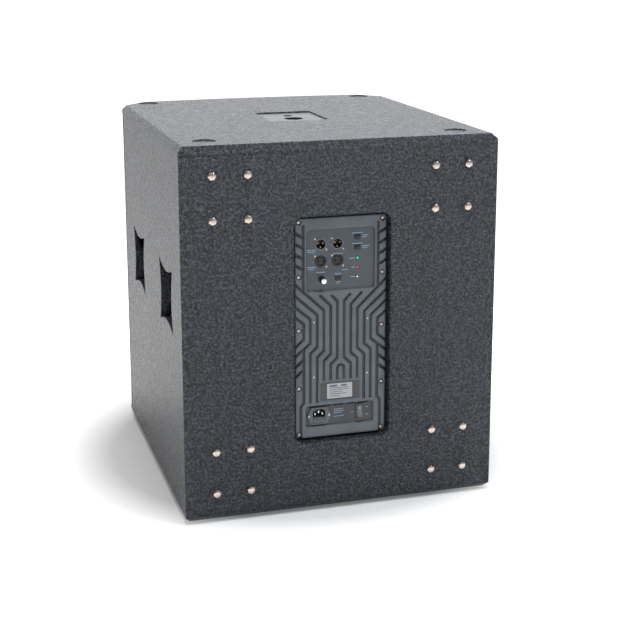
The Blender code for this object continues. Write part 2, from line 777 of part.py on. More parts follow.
def xlr(name, right, down, female):
    x, z = panel_point(right, down)
    flange_y = POCKET_BACK_Y - GAP
    thick = 0.0018
    outline = rectangle(0.026, 0.031, 0, 0, 0.002, 2)
    flange = flat(name, [outline], thick, (x, flange_y - thick / 2, z), "XZ", "black_plastic")
    nose_y = POCKET_FLOOR_Y + 0.0008
    nose_length = nose_y - flange_y + 0.001
    middle = (x, nose_y - nose_length / 2, z)
    nose = cylinder(name + "_nose", XLR_NOSE_R, nose_length, middle, BACKWARD, sides=20)
    body = box(
        name + "_body",
        (x - 0.010, BOARD_FACE_Y + GAP, z - 0.012),
        (x + 0.010, flange_y - 0.001, z + 0.012),
    )
    join(flange, nose, body)
    spots = [
        (x + XLR_PIN_CIRCLE_R * math.sin(angle), z - XLR_PIN_CIRCLE_R * math.cos(angle))
        for angle in map(math.radians, XLR_PIN_TURNS)
    ]
    if female:
        holes = [
            cylinder(f"{name}_contact_{i}", 0.0016, 0.024, (px, nose_y, pz), BACKWARD, sides=8)
            for i, (px, pz) in enumerate(spots)
        ]
        cut(flange, *holes)
        return
    cavity = cylinder(name + "_cavity", 0.0092, 0.026, (x, nose_y, z), BACKWARD, sides=20)
    pins = [
        cylinder(f"{name}_pin_{i}", 0.0012, 0.013, (px, nose_y - 0.0080, pz), BACKWARD, sides=8)
        for i, (px, pz) in enumerate(spots)
    ]
    cut(flange, cavity)
    join(flange, *pins)


def level_control():
    x, z = panel_point(*KNOB_AT)
    bush_end = POCKET_FLOOR_Y + 0.0020
    pot_top = BOARD_FACE_Y + 0.0070
    pot = box(
        "level_pot",
        (x - 0.005, BOARD_FACE_Y + GAP, z - 0.006),
        (x + 0.005, pot_top, z + 0.006),
        "zinc_steel",
    )
    bush_length = bush_end - pot_top + 0.001
    bush = cylinder("pot_bush", 0.0044, bush_length, (x, bush_end - bush_length / 2, z), BACKWARD)
    bore_length = 0.050
    bore_middle = (x, pot_top - 0.003 + bore_length / 2, z)
    bore = cylinder("pot_bore", 0.0034, bore_length, bore_middle, BACKWARD)
    join(pot, bush)
    cut(pot, bore)
    base = bush_end + GAP - POCKET_FLOOR_Y
    spindle_end = pot_top - 0.0025 - POCKET_FLOOR_Y
    knob = (
        (0.0, 0.0160),
        (0.0044, 0.0160),
        (0.0050, 0.0154),
        (0.0054, base + 0.0020),
        (0.0064, base),
        (0.0030, base),
        (0.0030, spindle_end),
        (0.0, spindle_end),
    )
    turned("level_knob", knob, (x, POCKET_FLOOR_Y, z), BACKWARD, "black_plastic", 20)


def push_button(name, right, down):
    x, z = panel_point(right, down)
    low_y = BOARD_FACE_Y + BUTTON_TRAVEL + 0.0005
    high_y = POCKET_FLOOR_Y + BUTTON_PROUD
    outline = rectangle(0.0092, 0.0062, 0, 0, 0.0008, 1)
    flat(name, [outline], high_y - low_y, (x, (low_y + high_y) / 2, z), "XZ", "grey_plastic")


def led(name, down, finish):
    x, z = panel_point(LED_RIGHT, down)
    low = BOARD_FACE_Y + GAP - POCKET_FLOOR_Y
    profile = ((0.0, 0.0012), (0.0009, 0.0010), (0.0016, 0.0002), (0.0016, low), (0.0, low))
    turned(name, profile, (x, POCKET_FLOOR_Y, z), BACKWARD, finish, 8)


def label_plate():
    x, z = panel_point(LABEL_POCKET[0], LABEL_POCKET[1])
    thick = 0.0005
    middle = (x, AMP_PLATE_Y - LABEL_DEPTH + GAP + thick / 2, z)
    flat("label_plate", [rectangle(0.0492, 0.0290, 0, 0, 0.0015, 2)], thick, middle, "XZ", "label_film")


def inlet():
    x, z = panel_point(*INLET_AT)
    thick = 0.0022
    face_y = POCKET_FLOOR_Y + GAP + thick
    flange = [(-0.0224, -0.003), (-0.0224, 0.003), (-0.0150, 0.0172), (0.0150, 0.0172)]
    flange += [(-px, -pz) for px, pz in flange]
    back_y = POCKET_FLOOR_Y - 0.0240
    body = flat("power_inlet", [flange], thick, (x, face_y - thick / 2, z), "XZ", "black_plastic")
    block = box(
        "inlet_body",
        (x - 0.0140, back_y, z - 0.0155),
        (x + 0.0140, face_y - 0.001, z + 0.0145),
    )
    join(body, block)
    socket_z = z + 0.0045
    socket = [(-0.0120, -0.0080), (0.0120, -0.0080), (0.0120, 0.0040), (0.0075, 0.0080)]
    socket += [(-0.0075, 0.0080), (-0.0120, 0.0040)]
    cut(body, flat("inlet_socket", [socket], 0.036, (x, face_y, socket_z), "XZ"))
    blades = [
        box(
            f"inlet_blade_{i}",
            (x + px - 0.001, back_y + 0.002, socket_z + pz - 0.002),
            (x + px + 0.001, face_y - 0.0035, socket_z + pz + 0.002),
        )
        for i, (px, pz) in enumerate(((-0.007, -0.001), (0.0, 0.002), (0.007, -0.001)))
    ]
    join(body, *blades)
    drawer_z = z - 0.0100
    cut(
        body,
        box(
            "drawer_cavity",
            (x - 0.0118, back_y + 0.0020, drawer_z - 0.0040),
            (x + 0.0118, face_y + 0.01, drawer_z + 0.0040),
        ),
    )
    drawer = box(
        "fuse_drawer",
        (x - 0.0115, back_y + 0.0024, drawer_z - 0.0036),
        (x + 0.0115, face_y + 0.0008, drawer_z + 0.0036),
        "black_plastic",
    )
    fuse_y = back_y + 0.0075
    well = box(
        "fuse_well",
        (x - 0.0103, fuse_y - 0.0029, drawer_z - 0.0028),
        (x + 0.0103, fuse_y + 0.0029, drawer_z + 0.01),
    )
    cut(drawer, well)
    along_x = Matrix.Rotation(math.pi / 2, 4, "Y")
    cylinder("fuse", 0.0025, 0.020, (x, fuse_y, drawer_z + 0.0001), along_x, "fuse_glass", 12)


def power_switch():
    """A bezel with a cavity, and a rocker that tips about X at the bezel's face."""
    x, z = panel_point(*SWITCH_AT)
    thick = 0.0018
    face_y = POCKET_FLOOR_Y + GAP + thick
    outline = rectangle(0.0158, 0.0310, 0, 0, 0.0015, 2)
    middle = (x, face_y - thick / 2, z)
    bezel = flat("power_switch_housing", [outline], thick, middle, "XZ", "black_plastic")
    body = box(
        "switch_body",
        (x - 0.0062, POCKET_FLOOR_Y - 0.0180, z - 0.0132),
        (x + 0.0062, face_y - 0.001, z + 0.0132),
    )
    cavity = box(
        "switch_cavity",
        (x - 0.0055, POCKET_FLOOR_Y - 0.0160, z - 0.0122),
        (x + 0.0055, face_y + 0.01, z + 0.0122),
    )
    join(bezel, body)
    cut(bezel, cavity)
    radius = 0.0114
    arc = [math.radians(180 + 15 * i) for i in range(13)]
    outline = [(radius * math.cos(a), radius * math.sin(a)) for a in arc]
    outline += [(0.0112, 0.0012), (0.0, -0.0002), (-0.0112, 0.0012)]
    place = Matrix.Translation((x, face_y, z)) @ Matrix.Rotation(SWITCH_TILT, 4, "X")
    rocker = flat("power_rocker", [outline], 0.0102, (0, 0, 0), "XZ", "grey_plastic")
    # Local x of the outline points up along Z, and local y points out along +Y.
    rocker.matrix_world = place @ Matrix(((0, 0, 1, 0), (0, 1, 0, 0), (-1, 0, 0, 0), (0, 0, 0, 1)))


# ---------------------------------------------------------------- woofer


def woofer_part(name, profile, finish, steps=ROUND, ring=True):
    return turned(name, profile, (0, BAFFLE_Y, WOOFER_Z), FORWARD, finish, steps, ring)


def ring_section(inner, outer, top, bottom):
    return [(outer, top), (outer, bottom), (inner, bottom), (inner, top)]


def zigzag(start, end, level, swing, waves, thickness):
    """The closed section of a corrugated disc between two radii."""
    count = 2 * waves
    radii = [start + (end - start) * i / count for i in range(count + 1)]
    upper = [(r, level + swing * (-1) ** i) for i, r in enumerate(radii)]
    lower = [(r, height - thickness) for r, height in upper]
    return upper + lower[::-1]


def half_roll(inner, outer, level, rise, thickness, steps=5):
    """A closed section of a half-roll surround between two flat lands."""
    land = 0.006
    middle = (inner + outer) / 2
    radius = (outer - inner) / 2 - land
    points = [(inner, level)]
    for i in range(steps + 1):
        angle = math.pi * (1 - i / steps)
        points.append((middle + radius * math.cos(angle), level + rise * math.sin(angle)))
    points.append((outer, level))
    lower = [(r, height - thickness) for r, height in points]
    return points + lower[::-1]


def woofer():
    basket = woofer_part(
        "woofer_basket",
        (
            (WOOFER_R, 0.0100),
            (WOOFER_R, GAP),
            (0.2115, GAP),
            (0.2115, -0.0220),
            (0.1250, -0.1180),
            (0.1250, -0.1240),
            (0.0560, -0.1240),
            (0.0560, -0.1200),
            (0.1180, -0.1200),
            (0.2065, -0.0195),
            (0.2065, 0.0065),
            (0.2200, 0.0065),
            (0.2200, 0.0100),
        ),
        "black_steel",
    )
    windows = []
    for i in range(BASKET_WINDOWS):
        turn = Matrix.Rotation(2 * math.pi * (i + 0.5) / BASKET_WINDOWS, 4, "Y")
        out = turn @ Vector((0.170, 0, 0))
        place = Matrix.Translation((out.x, BAFFLE_Y + 0.070, WOOFER_Z + out.z))
        window = box(f"basket_window_{i}", (-0.045, -0.032, -0.030), (0.045, 0.032, 0.030))
        window.matrix_world = place @ turn @ FORWARD
        windows.append(window)
    cut(basket, *windows)
    woofer_part("magnet_top_plate", ring_section(0.0535, 0.0975, -0.1243, -0.1323), "zinc_steel", 24)
    woofer_part("magnet", ring_section(0.0600, 0.0950, -0.1326, -0.1626), "ferrite", 24)
    yoke = (
        (0.0480, -0.1220),
        (0.0480, -0.1629),
        (0.0975, -0.1629),
        (0.0975, -0.1749),
        (0.0180, -0.1749),
        (0.0180, -0.1220),
    )
    woofer_part("magnet_yoke", yoke, "zinc_steel", 24)
    woofer_part("voice_coil", ring_section(0.0500, 0.0515, -0.0850, -0.1500), "copper_wire", 24)
    woofer_part("spider", zigzag(0.0519, 0.1170, -0.1155, 0.0016, 4, 0.0010), "spider_cloth", 24)
    face = [(0.0519, -0.0860), (0.0690, -0.0800), (0.1300, -0.0345), (0.1870, 0.0066)]
    back = [(r, height - 0.0022) for r, height in reversed(face)]
    woofer_part("cone", face + back, "cone_paper")
    woofer_part("surround", half_roll(0.1840, 0.2190, 0.0082, 0.0110, 0.0012), "doped_cloth")
    dome_r = 0.0820
    turns = [math.pi / 2 * i / 5 for i in range(6)]
    dome = [(dome_r * math.sin(a), -0.0685 + 0.0220 * math.cos(a)) for a in turns]
    inside = [(r * 0.985, height - 0.0012) for r, height in reversed(dome)]
    woofer_part("dust_cap", dome + inside, "cone_paper", ring=False)


# ---------------------------------------------------------------- assembly


def main():
    top_panel()
    bottom_panel()
    side_panel("left_side_panel", -1)
    side_panel("right_side_panel", 1)
    rear_panel()
    front_baffle()
    port_and_brace()
    grille_and_foam()
    for side_name, side in (("left", -1), ("right", 1)):
        for end, y in HANDLE_YS.items():
            handle_cup(f"{side_name}_{end}_handle_cup", side, y)
        for end, y in FOOT_YS.items():
            foot(f"{end}_{side_name}_foot", side * FOOT_X, y)
        for row in BOLT_ROWS:
            caster_bolt_set(f"{row}_{side_name}_caster_bolts", row, side)
    pole_mount()
    amp_surround()
    amp_plate()
    amp_boards(amp_cover())
    for i, right in enumerate(XLR_COLUMNS):
        xlr(f"xlr_output_{i + 1}", right, XLR_MALE_DOWN, False)
        xlr(f"xlr_input_{i + 1}", right, XLR_FEMALE_DOWN, True)
    level_control()
    for name, at in BUTTONS.items():
        push_button(name, *at)
    for (name, down), finish in zip(LEDS.items(), ("green_lens", "red_lens", "white_lens")):
        led(name, down, finish)
    label_plate()
    inlet()
    power_switch()
    woofer()


main()
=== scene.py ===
import json
import math

import bmesh
import bpy
import numpy as np
from mathutils import Matrix, Vector


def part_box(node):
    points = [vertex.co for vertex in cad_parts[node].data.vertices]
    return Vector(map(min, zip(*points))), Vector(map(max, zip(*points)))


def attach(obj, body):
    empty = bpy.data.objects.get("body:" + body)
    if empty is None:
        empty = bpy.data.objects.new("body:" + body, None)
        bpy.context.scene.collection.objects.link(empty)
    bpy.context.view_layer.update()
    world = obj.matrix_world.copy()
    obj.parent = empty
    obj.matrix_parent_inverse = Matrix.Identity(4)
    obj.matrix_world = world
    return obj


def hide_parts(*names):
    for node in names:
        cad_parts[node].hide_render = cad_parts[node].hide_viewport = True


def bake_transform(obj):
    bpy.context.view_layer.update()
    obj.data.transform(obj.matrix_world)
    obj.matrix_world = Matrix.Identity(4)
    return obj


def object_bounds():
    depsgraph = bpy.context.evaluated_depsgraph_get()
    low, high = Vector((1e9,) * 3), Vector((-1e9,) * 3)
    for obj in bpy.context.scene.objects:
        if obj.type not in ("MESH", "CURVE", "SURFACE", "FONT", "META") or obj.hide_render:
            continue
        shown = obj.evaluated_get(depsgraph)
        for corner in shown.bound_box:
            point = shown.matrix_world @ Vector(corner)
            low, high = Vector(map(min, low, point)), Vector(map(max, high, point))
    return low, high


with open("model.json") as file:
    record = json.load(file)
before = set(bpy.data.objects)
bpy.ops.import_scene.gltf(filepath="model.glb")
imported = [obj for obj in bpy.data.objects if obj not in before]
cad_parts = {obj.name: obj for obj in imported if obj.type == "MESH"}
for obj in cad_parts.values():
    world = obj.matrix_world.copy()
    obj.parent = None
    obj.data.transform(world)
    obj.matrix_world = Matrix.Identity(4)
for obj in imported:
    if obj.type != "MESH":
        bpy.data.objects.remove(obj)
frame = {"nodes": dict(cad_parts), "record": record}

CAD_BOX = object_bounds()

# ---------------------------------------------------------------- places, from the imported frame

LOW, HIGH = CAD_BOX
PLATE_LOW, PLATE_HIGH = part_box("amp_plate")
PLATE_WIDTH = PLATE_HIGH.x - PLATE_LOW.x
PLATE_HEIGHT = PLATE_HIGH.z - PLATE_LOW.z
PLATE_THICK = 0.0042
PLATE_CORNER = 0.010
REAR_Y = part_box("rear_panel")[1].y
FLOOR_Z = LOW.z
INNER_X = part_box("rear_panel")[1].x + 0.0003
INNER_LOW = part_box("bottom_panel")[1].z
INNER_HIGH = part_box("top_panel")[0].z
SIDE_FRONT_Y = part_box("right_side_panel")[0].y
BOLT_HEAD = 0.0050
GRILLE_INSET = 0.0030
GRILLE_SHEET = 0.0012
SHARP_EDGE = math.radians(35)
WOOFER_FACE = Vector((0.0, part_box("front_baffle")[0].y, 0.410))

# The panel frame: X to the right as seen from behind, Y up, Z out of the cabinet.
OUTWARDS = Matrix(((-1, 0, 0, 0), (0, 0, 1, 0), (0, 1, 0, 0), (0, 0, 0, 1)))
PANEL = Matrix.Translation((0, PLATE_HIGH.y, PLATE_HIGH.z)) @ OUTWARDS
FORWARD = Matrix.Rotation(math.pi / 2, 4, "X")
WOOFER = Matrix.Translation(WOOFER_FACE) @ FORWARD


def panel_place(node):
    """A node's middle on the amplifier panel: right of its middle, and down from its top edge."""
    low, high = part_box(node)
    right = -(low.x + high.x) / 2
    down = PLATE_HIGH.z - (low.z + high.z) / 2
    return round(right, 5), round(down, 5)


# Places on the amplifier panel, as (right, down) and then width and height.
INPUT_POCKET = (0.0, 0.0805, 0.1320, 0.1176)
POWER_POCKET = (-0.0015, 0.3780, 0.1330, 0.0420)
LABEL_POCKET = (*panel_place("label_plate"), 0.0800, 0.0370)
INPUT_CORNER = 0.0075
POWER_CORNER = 0.0060
LABEL_CORNER = 0.0040
POCKET_DEPTH = 0.0045
FLOOR_OUT = -POCKET_DEPTH
INLET_FACE_OUT = FLOOR_OUT + 0.0025
LABEL_DEPTH = 0.0020
POCKET_FILLET = 0.0026
MALE_SOCKETS = {node: panel_place(node) for node in ("xlr_output_1", "xlr_output_2")}
FEMALE_SOCKETS = {node: panel_place(node) for node in ("xlr_input_1", "xlr_input_2")}
XLR_SCREW_OFFSET = (0.0108, 0.0103)
KNOB_AT = panel_place("level_knob")
BUTTONS = {
    node: panel_place(node) for node in ("crossover_button", "ground_lift_button", "polarity_button")
}
LEDS = {node: panel_place(node) for node in ("power_led", "limit_led", "signal_led")}
INLET_AT = panel_place("power_inlet")
INLET_SCREWS = (-0.0610, -0.0220)
SWITCH_AT = panel_place("power_switch_housing")
EDGE_SCREW_RIGHT = 0.0805
EDGE_SCREW_DOWNS = (0.0070, 0.1092, 0.2100, 0.3213, 0.4120)
EDGE_SCREW_RECESS = 0.0024
FACE_SCREWS = [(side * 0.0518, down) for side in (-1, 1) for down in (0.1960, 0.3017)]

# The casting's grooves, and the depth below which its material is darker, as painted shade in the grooves
# and other hollows.
CELL = 0.0009
HOLLOW_SHADE_DEPTH = 0.0022
GROOVE_PITCH = 0.0130
GROOVE_FLOOR = 0.0013
GROOVE_HALF = 0.0029
NOTCH_HALF = 0.0032
GROOVE_DEPTH = 0.0036


# ---------------------------------------------------------------- materials

# The colour sockets of a Mix node, whose names its number sockets share.
COLOUR_SOCKETS = (6, 7)
COLOUR_RESULT = 2


class Finish:
    """A material's nodes: a Principled shader, and a short call for each node that feeds it."""

    def __init__(self, name, colour, roughness, metallic=0.0, **sockets):
        self.material = bpy.data.materials.new(name)
        self.material.use_nodes = True
        self.tree = self.material.node_tree
        self.shader = self.tree.nodes["Principled BSDF"]
        self.shader.inputs["Base Color"].default_value = (*colour, 1.0)
        self.shader.inputs["Roughness"].default_value = roughness
        self.shader.inputs["Metallic"].default_value = metallic
        for socket, value in sockets.items():
            self.shader.inputs[socket.replace("_", " ").title()].default_value = value
        self.place = self.tree.nodes.new("ShaderNodeTexCoord").outputs["Object"]
        self.normal = None

    def node(self, kind, **settings):
        made = self.tree.nodes.new(kind)
        for name, value in settings.items():
            setattr(made, name, value)
        return made

    def link(self, source, target):
        self.tree.links.new(source, target)

    def stretched(self, x, y, z):
        mapping = self.node("ShaderNodeMapping")
        mapping.inputs["Scale"].default_value = (x, y, z)
        self.link(self.place, mapping.inputs["Vector"])
        return mapping.outputs["Vector"]

    def noise(self, size, detail=2.0, roughness=0.5, place=None):
        """Cloudy values whose features are about size across, in metres."""
        made = self.node("ShaderNodeTexNoise")
        made.inputs["Scale"].default_value = 1.0 / size
        made.inputs["Detail"].default_value = detail
        made.inputs["Roughness"].default_value = roughness
        self.link(place or self.place, made.inputs["Vector"])
        return made.outputs["Fac"]

    def cells(self, size, feature="SMOOTH_F1"):
        made = self.node("ShaderNodeTexVoronoi", feature=feature)
        made.inputs["Scale"].default_value = 1.0 / size
        self.link(self.place, made.inputs["Vector"])
        return made.outputs["Distance"]

    def waves(self, size, axis, distortion=0.0):
        made = self.node("ShaderNodeTexWave", wave_type="BANDS", bands_direction=axis)
        made.inputs["Scale"].default_value = 0.314 / size
        made.inputs["Distortion"].default_value = distortion
        self.link(self.place, made.inputs["Vector"])
        return made.outputs["Fac"]

    def span(self, value, low, high, start=0.3, end=0.7):
        """A value moved from start..end to low..high."""
        made = self.node("ShaderNodeMapRange")
        made.inputs["From Min"].default_value = start
        made.inputs["From Max"].default_value = end
        made.inputs["To Min"].default_value = low
        made.inputs["To Max"].default_value = high
        self.link(value, made.inputs["Value"])
        return made.outputs["Result"]

    def sum(self, first, second, share=0.5):
        made = self.node("ShaderNodeMix")
        made.inputs["Factor"].default_value = share
        self.link(first, made.inputs["A"])
        self.link(second, made.inputs["B"])
        return made.outputs["Result"]

    def product(self, first, second):
        made = self.node("ShaderNodeMath", operation="MULTIPLY")
        self.link(first, made.inputs[0])
        self.link(second, made.inputs[1])
        return made.outputs["Value"]

    def blend(self, value, first, second):
        """A colour between two others, which becomes the base colour."""
        made = self.node("ShaderNodeMix", data_type="RGBA")
        self.link(value, made.inputs["Factor"])
        for socket, colour in zip(COLOUR_SOCKETS, (first, second)):
            made.inputs[socket].default_value = (*colour, 1.0)
        self.link(made.outputs[COLOUR_RESULT], self.shader.inputs["Base Color"])

    def rough(self, value, low, high):
        self.link(self.span(value, low, high), self.shader.inputs["Roughness"])

    def bump(self, height, distance, strength=1.0):
        """Adds relief, distance deep in metres, on top of any relief made before."""
        made = self.node("ShaderNodeBump")
        made.inputs["Distance"].default_value = distance
        made.inputs["Strength"].default_value = strength
        self.link(height, made.inputs["Height"])
        if self.normal:
            self.link(self.normal, made.inputs["Normal"])
        self.normal = made.outputs["Normal"]
        self.link(self.normal, self.shader.inputs["Normal"])


def cabinet_paint():
    made = Finish("cabinet_paint", (0.02, 0.022, 0.026), 0.28)
    grains = made.noise(0.0047, 1.5, 0.55)
    fine = made.noise(0.0020, 1.0, 0.5)
    relief = made.sum(grains, fine, 0.35)
    # The relief's valleys are nearly black as painted shade, and its peaks lighter and bluish as painted
    # glints.
    made.blend(made.span(relief, 0.0, 1.0, 0.47, 0.57), (0.0008, 0.0010, 0.0016), (0.046, 0.056, 0.078))
    made.rough(made.noise(0.012, 3.0), 0.24, 0.34)
    made.bump(relief, 0.0100, 1.0)
    return made.material


def raw_plywood():
    made = Finish("raw_plywood", (0.5, 0.34, 0.19), 0.7)
    fibres = made.noise(0.004, 5.0, 0.65, made.stretched(1.0, 0.06, 1.0))
    plies = made.waves(0.0030, "Z", 1.5)
    made.blend(made.sum(fibres, plies, 0.35), (0.34, 0.205, 0.105), (0.62, 0.45, 0.27))
    made.rough(fibres, 0.60, 0.82)
    made.bump(fibres, 0.0003, 0.5)
    return made.material


def painted_steel():
    made = Finish("painted_steel", (0.055, 0.058, 0.062), 0.38)
    made.rough(made.noise(0.006, 4.0), 0.26, 0.40)
    made.blend(made.noise(0.02, 3.0), (0.046, 0.049, 0.053), (0.064, 0.068, 0.074))
    made.bump(made.noise(0.0008, 2.0), 0.00005, 0.4)
    return made.material


def black_steel():
    made = Finish("black_steel", (0.014, 0.014, 0.016), 0.42)
    made.blend(made.noise(0.03, 4.0), (0.011, 0.011, 0.012), (0.019, 0.019, 0.021))
    made.rough(made.noise(0.004, 3.0), 0.34, 0.50)
    made.bump(made.noise(0.0009, 2.0), 0.00008, 0.5)
    return made.material


def black_foam():
    made = Finish("black_foam", (0.010, 0.010, 0.010), 0.97)
    pores = made.cells(0.0013, "F1")
    made.blend(made.span(pores, 0.0, 1.0, 0.1, 0.6), (0.004, 0.004, 0.004), (0.020, 0.020, 0.021))
    made.bump(pores, 0.0009, 0.9)
    return made.material


def black_plastic(name="black_plastic", colour=(0.012, 0.012, 0.013), roughness=0.30):
    made = Finish(name, colour, roughness)
    darker = tuple(0.75 * c for c in colour)
    lighter = tuple(1.25 * c for c in colour)
    made.blend(made.noise(0.012, 3.0), darker, lighter)
    made.rough(made.noise(0.005, 4.0, 0.6), roughness * 0.85, roughness * 1.25)
    made.bump(made.noise(0.00045, 2.0), 0.00003, 0.35)
    return made.material


def rubber():
    made = Finish("rubber", (0.016, 0.016, 0.016), 0.85)
    dust = made.noise(0.008, 4.0, 0.65)
    made.blend(made.span(dust, 0.0, 1.0, 0.45, 0.75), (0.013, 0.013, 0.013), (0.045, 0.043, 0.040))
    made.rough(dust, 0.75, 0.95)
    made.bump(made.noise(0.0007, 3.0), 0.0001, 0.6)
    return made.material


def metal(name, colour, roughness, streak=0.00035, depth=0.00002):
    made = Finish(name, colour, roughness, 1.0)
    tarnish = made.noise(0.006, 4.0, 0.6)
    darker = tuple(0.72 * c for c in colour)
    made.blend(made.span(tarnish, 0.0, 1.0, 0.40, 0.75), colour, darker)
    made.rough(made.noise(0.0025, 4.0, 0.6), roughness * 0.75, roughness * 1.4)
    made.bump(made.noise(streak, 3.0, 0.5, made.stretched(1.0, 1.0, 0.15)), depth, 0.4)
    return made.material


def cast_aluminium(name="cast_aluminium", colour=(0.080, 0.096, 0.112)):
    made = Finish(name, colour, 0.38)
    darker = tuple(0.88 * c for c in colour)
    lighter = tuple(1.10 * c for c in colour)
    made.blend(made.span(made.noise(0.035, 4.0), 0.0, 1.0, 0.35, 0.65), darker, lighter)
    made.rough(made.noise(0.004, 3.0), 0.32, 0.44)
    made.bump(made.cells(0.0011), 0.00010, 0.35)
    made.bump(made.noise(0.0006, 2.0), 0.00004, 0.4)
    return made.material


def circuit_board():
    made = Finish("circuit_board", (0.015, 0.12, 0.05), 0.4)
    tracks = made.waves(0.0030, "X", 9.0)
    made.blend(made.span(tracks, 0.0, 1.0, 0.45, 0.55), (0.010, 0.085, 0.035), (0.022, 0.17, 0.07))
    made.bump(tracks, 0.0001, 0.4)
    return made.material


def ferrite():
    made = Finish("ferrite", (0.045, 0.045, 0.048), 0.7)
    grain = made.noise(0.0015, 4.0, 0.7)
    made.blend(grain, (0.032, 0.032, 0.034), (0.062, 0.061, 0.062))
    made.bump(grain, 0.0002, 0.6)
    return made.material


def copper_wire():
    made = Finish("copper_wire", (0.62, 0.25, 0.11), 0.3, 1.0)
    turns = made.waves(0.0006, "Y")
    made.blend(turns, (0.42, 0.15, 0.06), (0.75, 0.33, 0.16))
    made.bump(turns, 0.0003, 0.7)
    return made.material


def cone_paper():
    made = Finish("cone_paper", (0.022, 0.022, 0.024), 0.85)
    fibres = made.noise(0.0018, 6.0, 0.75)
    made.blend(fibres, (0.014, 0.014, 0.015), (0.038, 0.037, 0.038))
    made.rough(fibres, 0.72, 0.95)
    made.bump(fibres, 0.0004, 0.6)
    return made.material


def cloth(name, dark, light, size):
    made = Finish(name, light, 0.85, Sheen_Weight=0.25)
    warp = made.waves(size, "X", 0.4)
    weft = made.waves(size, "Z", 0.4)
    weave = made.product(warp, weft)
    made.blend(weave, dark, light)
    made.rough(made.noise(0.01), 0.75, 0.95)
    made.bump(weave, 0.0003, 0.6)
    return made.material


def fuse_glass():
    made = Finish("fuse_glass", (0.82, 0.88, 0.88), 0.05, Transmission_Weight=0.9)
    made.rough(made.noise(0.004), 0.03, 0.12)
    return made.material


def label_film():
    made = Finish("label_film", (0.30, 0.31, 0.33), 0.40, 0.4)
    made.blend(made.noise(0.008, 4.0), (0.27, 0.28, 0.30), (0.36, 0.37, 0.39))
    made.rough(made.noise(0.003, 3.0), 0.28, 0.45)
    made.bump(made.noise(0.0012), 0.00003, 0.4)
    return made.material


def lens(name, colour, glow):
    made = Finish(name, colour, 0.12, Emission_Color=(*colour, 1.0), Emission_Strength=glow)
    made.rough(made.noise(0.001), 0.08, 0.2)
    return made.material


def ink(name, colour):
    made = Finish(name, colour, 0.6)
    fade = made.noise(0.0012, 4.0, 0.7)
    made.blend(made.span(fade, 0.0, 1.0, 0.5, 0.8), colour, tuple(0.7 * c for c in colour))
    return made.material


def finishes():
    """Every finish by name, and the frame's material slot for each finish that isn't one itself."""
    plain = (
        cabinet_paint, raw_plywood, painted_steel, black_steel, black_foam, black_plastic, rubber,
        cast_aluminium, circuit_board, ferrite, copper_wire, cone_paper, fuse_glass, label_film,
    )
    made = {make.__name__: make() for make in plain}
    slots = {}
    for make, slot, name, *settings in (
        (black_plastic, "black_plastic", "gloss_plastic", (0.010, 0.0105, 0.012), 0.14),
        (black_plastic, "grey_plastic", "button_plastic", (0.012, 0.013, 0.015), 0.40),
        (black_plastic, "grey_plastic", "grey_plastic", (0.115, 0.128, 0.138), 0.36),
        (black_plastic, "black_plastic", "dark_plastic", (0.006, 0.006, 0.007), 0.45),
        (black_plastic, "black_plastic", "socket_plastic", (0.004, 0.004, 0.005), 0.30),
        (black_plastic, "black_plastic", "inlet_plastic", (0.072, 0.081, 0.090), 0.34),
        (black_plastic, "black_plastic", "bezel_plastic", (0.052, 0.042, 0.042), 0.34),
        (metal, "nickel_steel", "nickel_steel", (0.60, 0.51, 0.45), 0.28),
        (metal, "zinc_steel", "zinc_steel", (0.56, 0.57, 0.59), 0.36),
        (metal, "nickel_steel", "silver_cap", (0.92, 0.92, 0.92), 0.38),
        (metal, "nickel_steel", "gold_contact", (0.86, 0.58, 0.26), 0.24),
        (cast_aluminium, "cast_aluminium", "floor_aluminium", (0.050, 0.059, 0.070)),
        # The power pocket's darker floor, and painted shade in the casting's grooves and hollows.
        (cast_aluminium, "cast_aluminium", "dark_aluminium", (0.030, 0.033, 0.038)),
        (cast_aluminium, "cast_aluminium", "brown_aluminium", (0.046, 0.042, 0.046)),
        (cloth, "doped_cloth", "doped_cloth", (0.018, 0.017, 0.016), (0.042, 0.040, 0.038), 0.0011),
        (cloth, "spider_cloth", "spider_cloth", (0.32, 0.20, 0.08), (0.58, 0.42, 0.20), 0.0012),
        (lens, "green_lens", "green_lens", (0.02, 0.75, 0.42), 1.2),
        (lens, "red_lens", "red_lens", (0.85, 0.03, 0.02), 1.0),
        (lens, "white_lens", "white_lens", (0.85, 0.83, 0.80), 0.6),
        (ink, "label_film", "panel_ink", (0.20, 0.33, 0.44)),
        (ink, "label_film", "label_ink", (0.06, 0.065, 0.07)),
        (ink, "label_film", "white_ink", (0.75, 0.77, 0.80)),
    ):
        made[name] = make(name, *settings)
        slots[name] = slot
    return made, slots


FINISHES, SLOT_OF = finishes()


# ---------------------------------------------------------------- making shapes


def mesh_of(bm, name):
    mesh = bpy.data.meshes.new(name)
    bm.to_mesh(mesh)
    bm.free()
    return mesh


def new_object(name, mesh, place=None):
    obj = bpy.data.objects.new(name, mesh)
    bpy.context.scene.collection.objects.link(obj)
    if place is not None:
        obj.matrix_world = place
    return obj


def piece(name, mesh, finish, place=None, body="cabinet", stands_for=(), crisp=38):
    """A visible piece: smooth between its sharp edges, with a finish, on a body of the frame."""
    obj = new_object(name, mesh, place)
    mesh.materials.clear()
    mesh.materials.append(FINISHES[finish])
    mesh.shade_smooth()
    mesh.set_sharp_from_angle(angle=math.radians(crisp))
    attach(obj, body)
    if stands_for:
        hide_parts(*stands_for)
    return obj


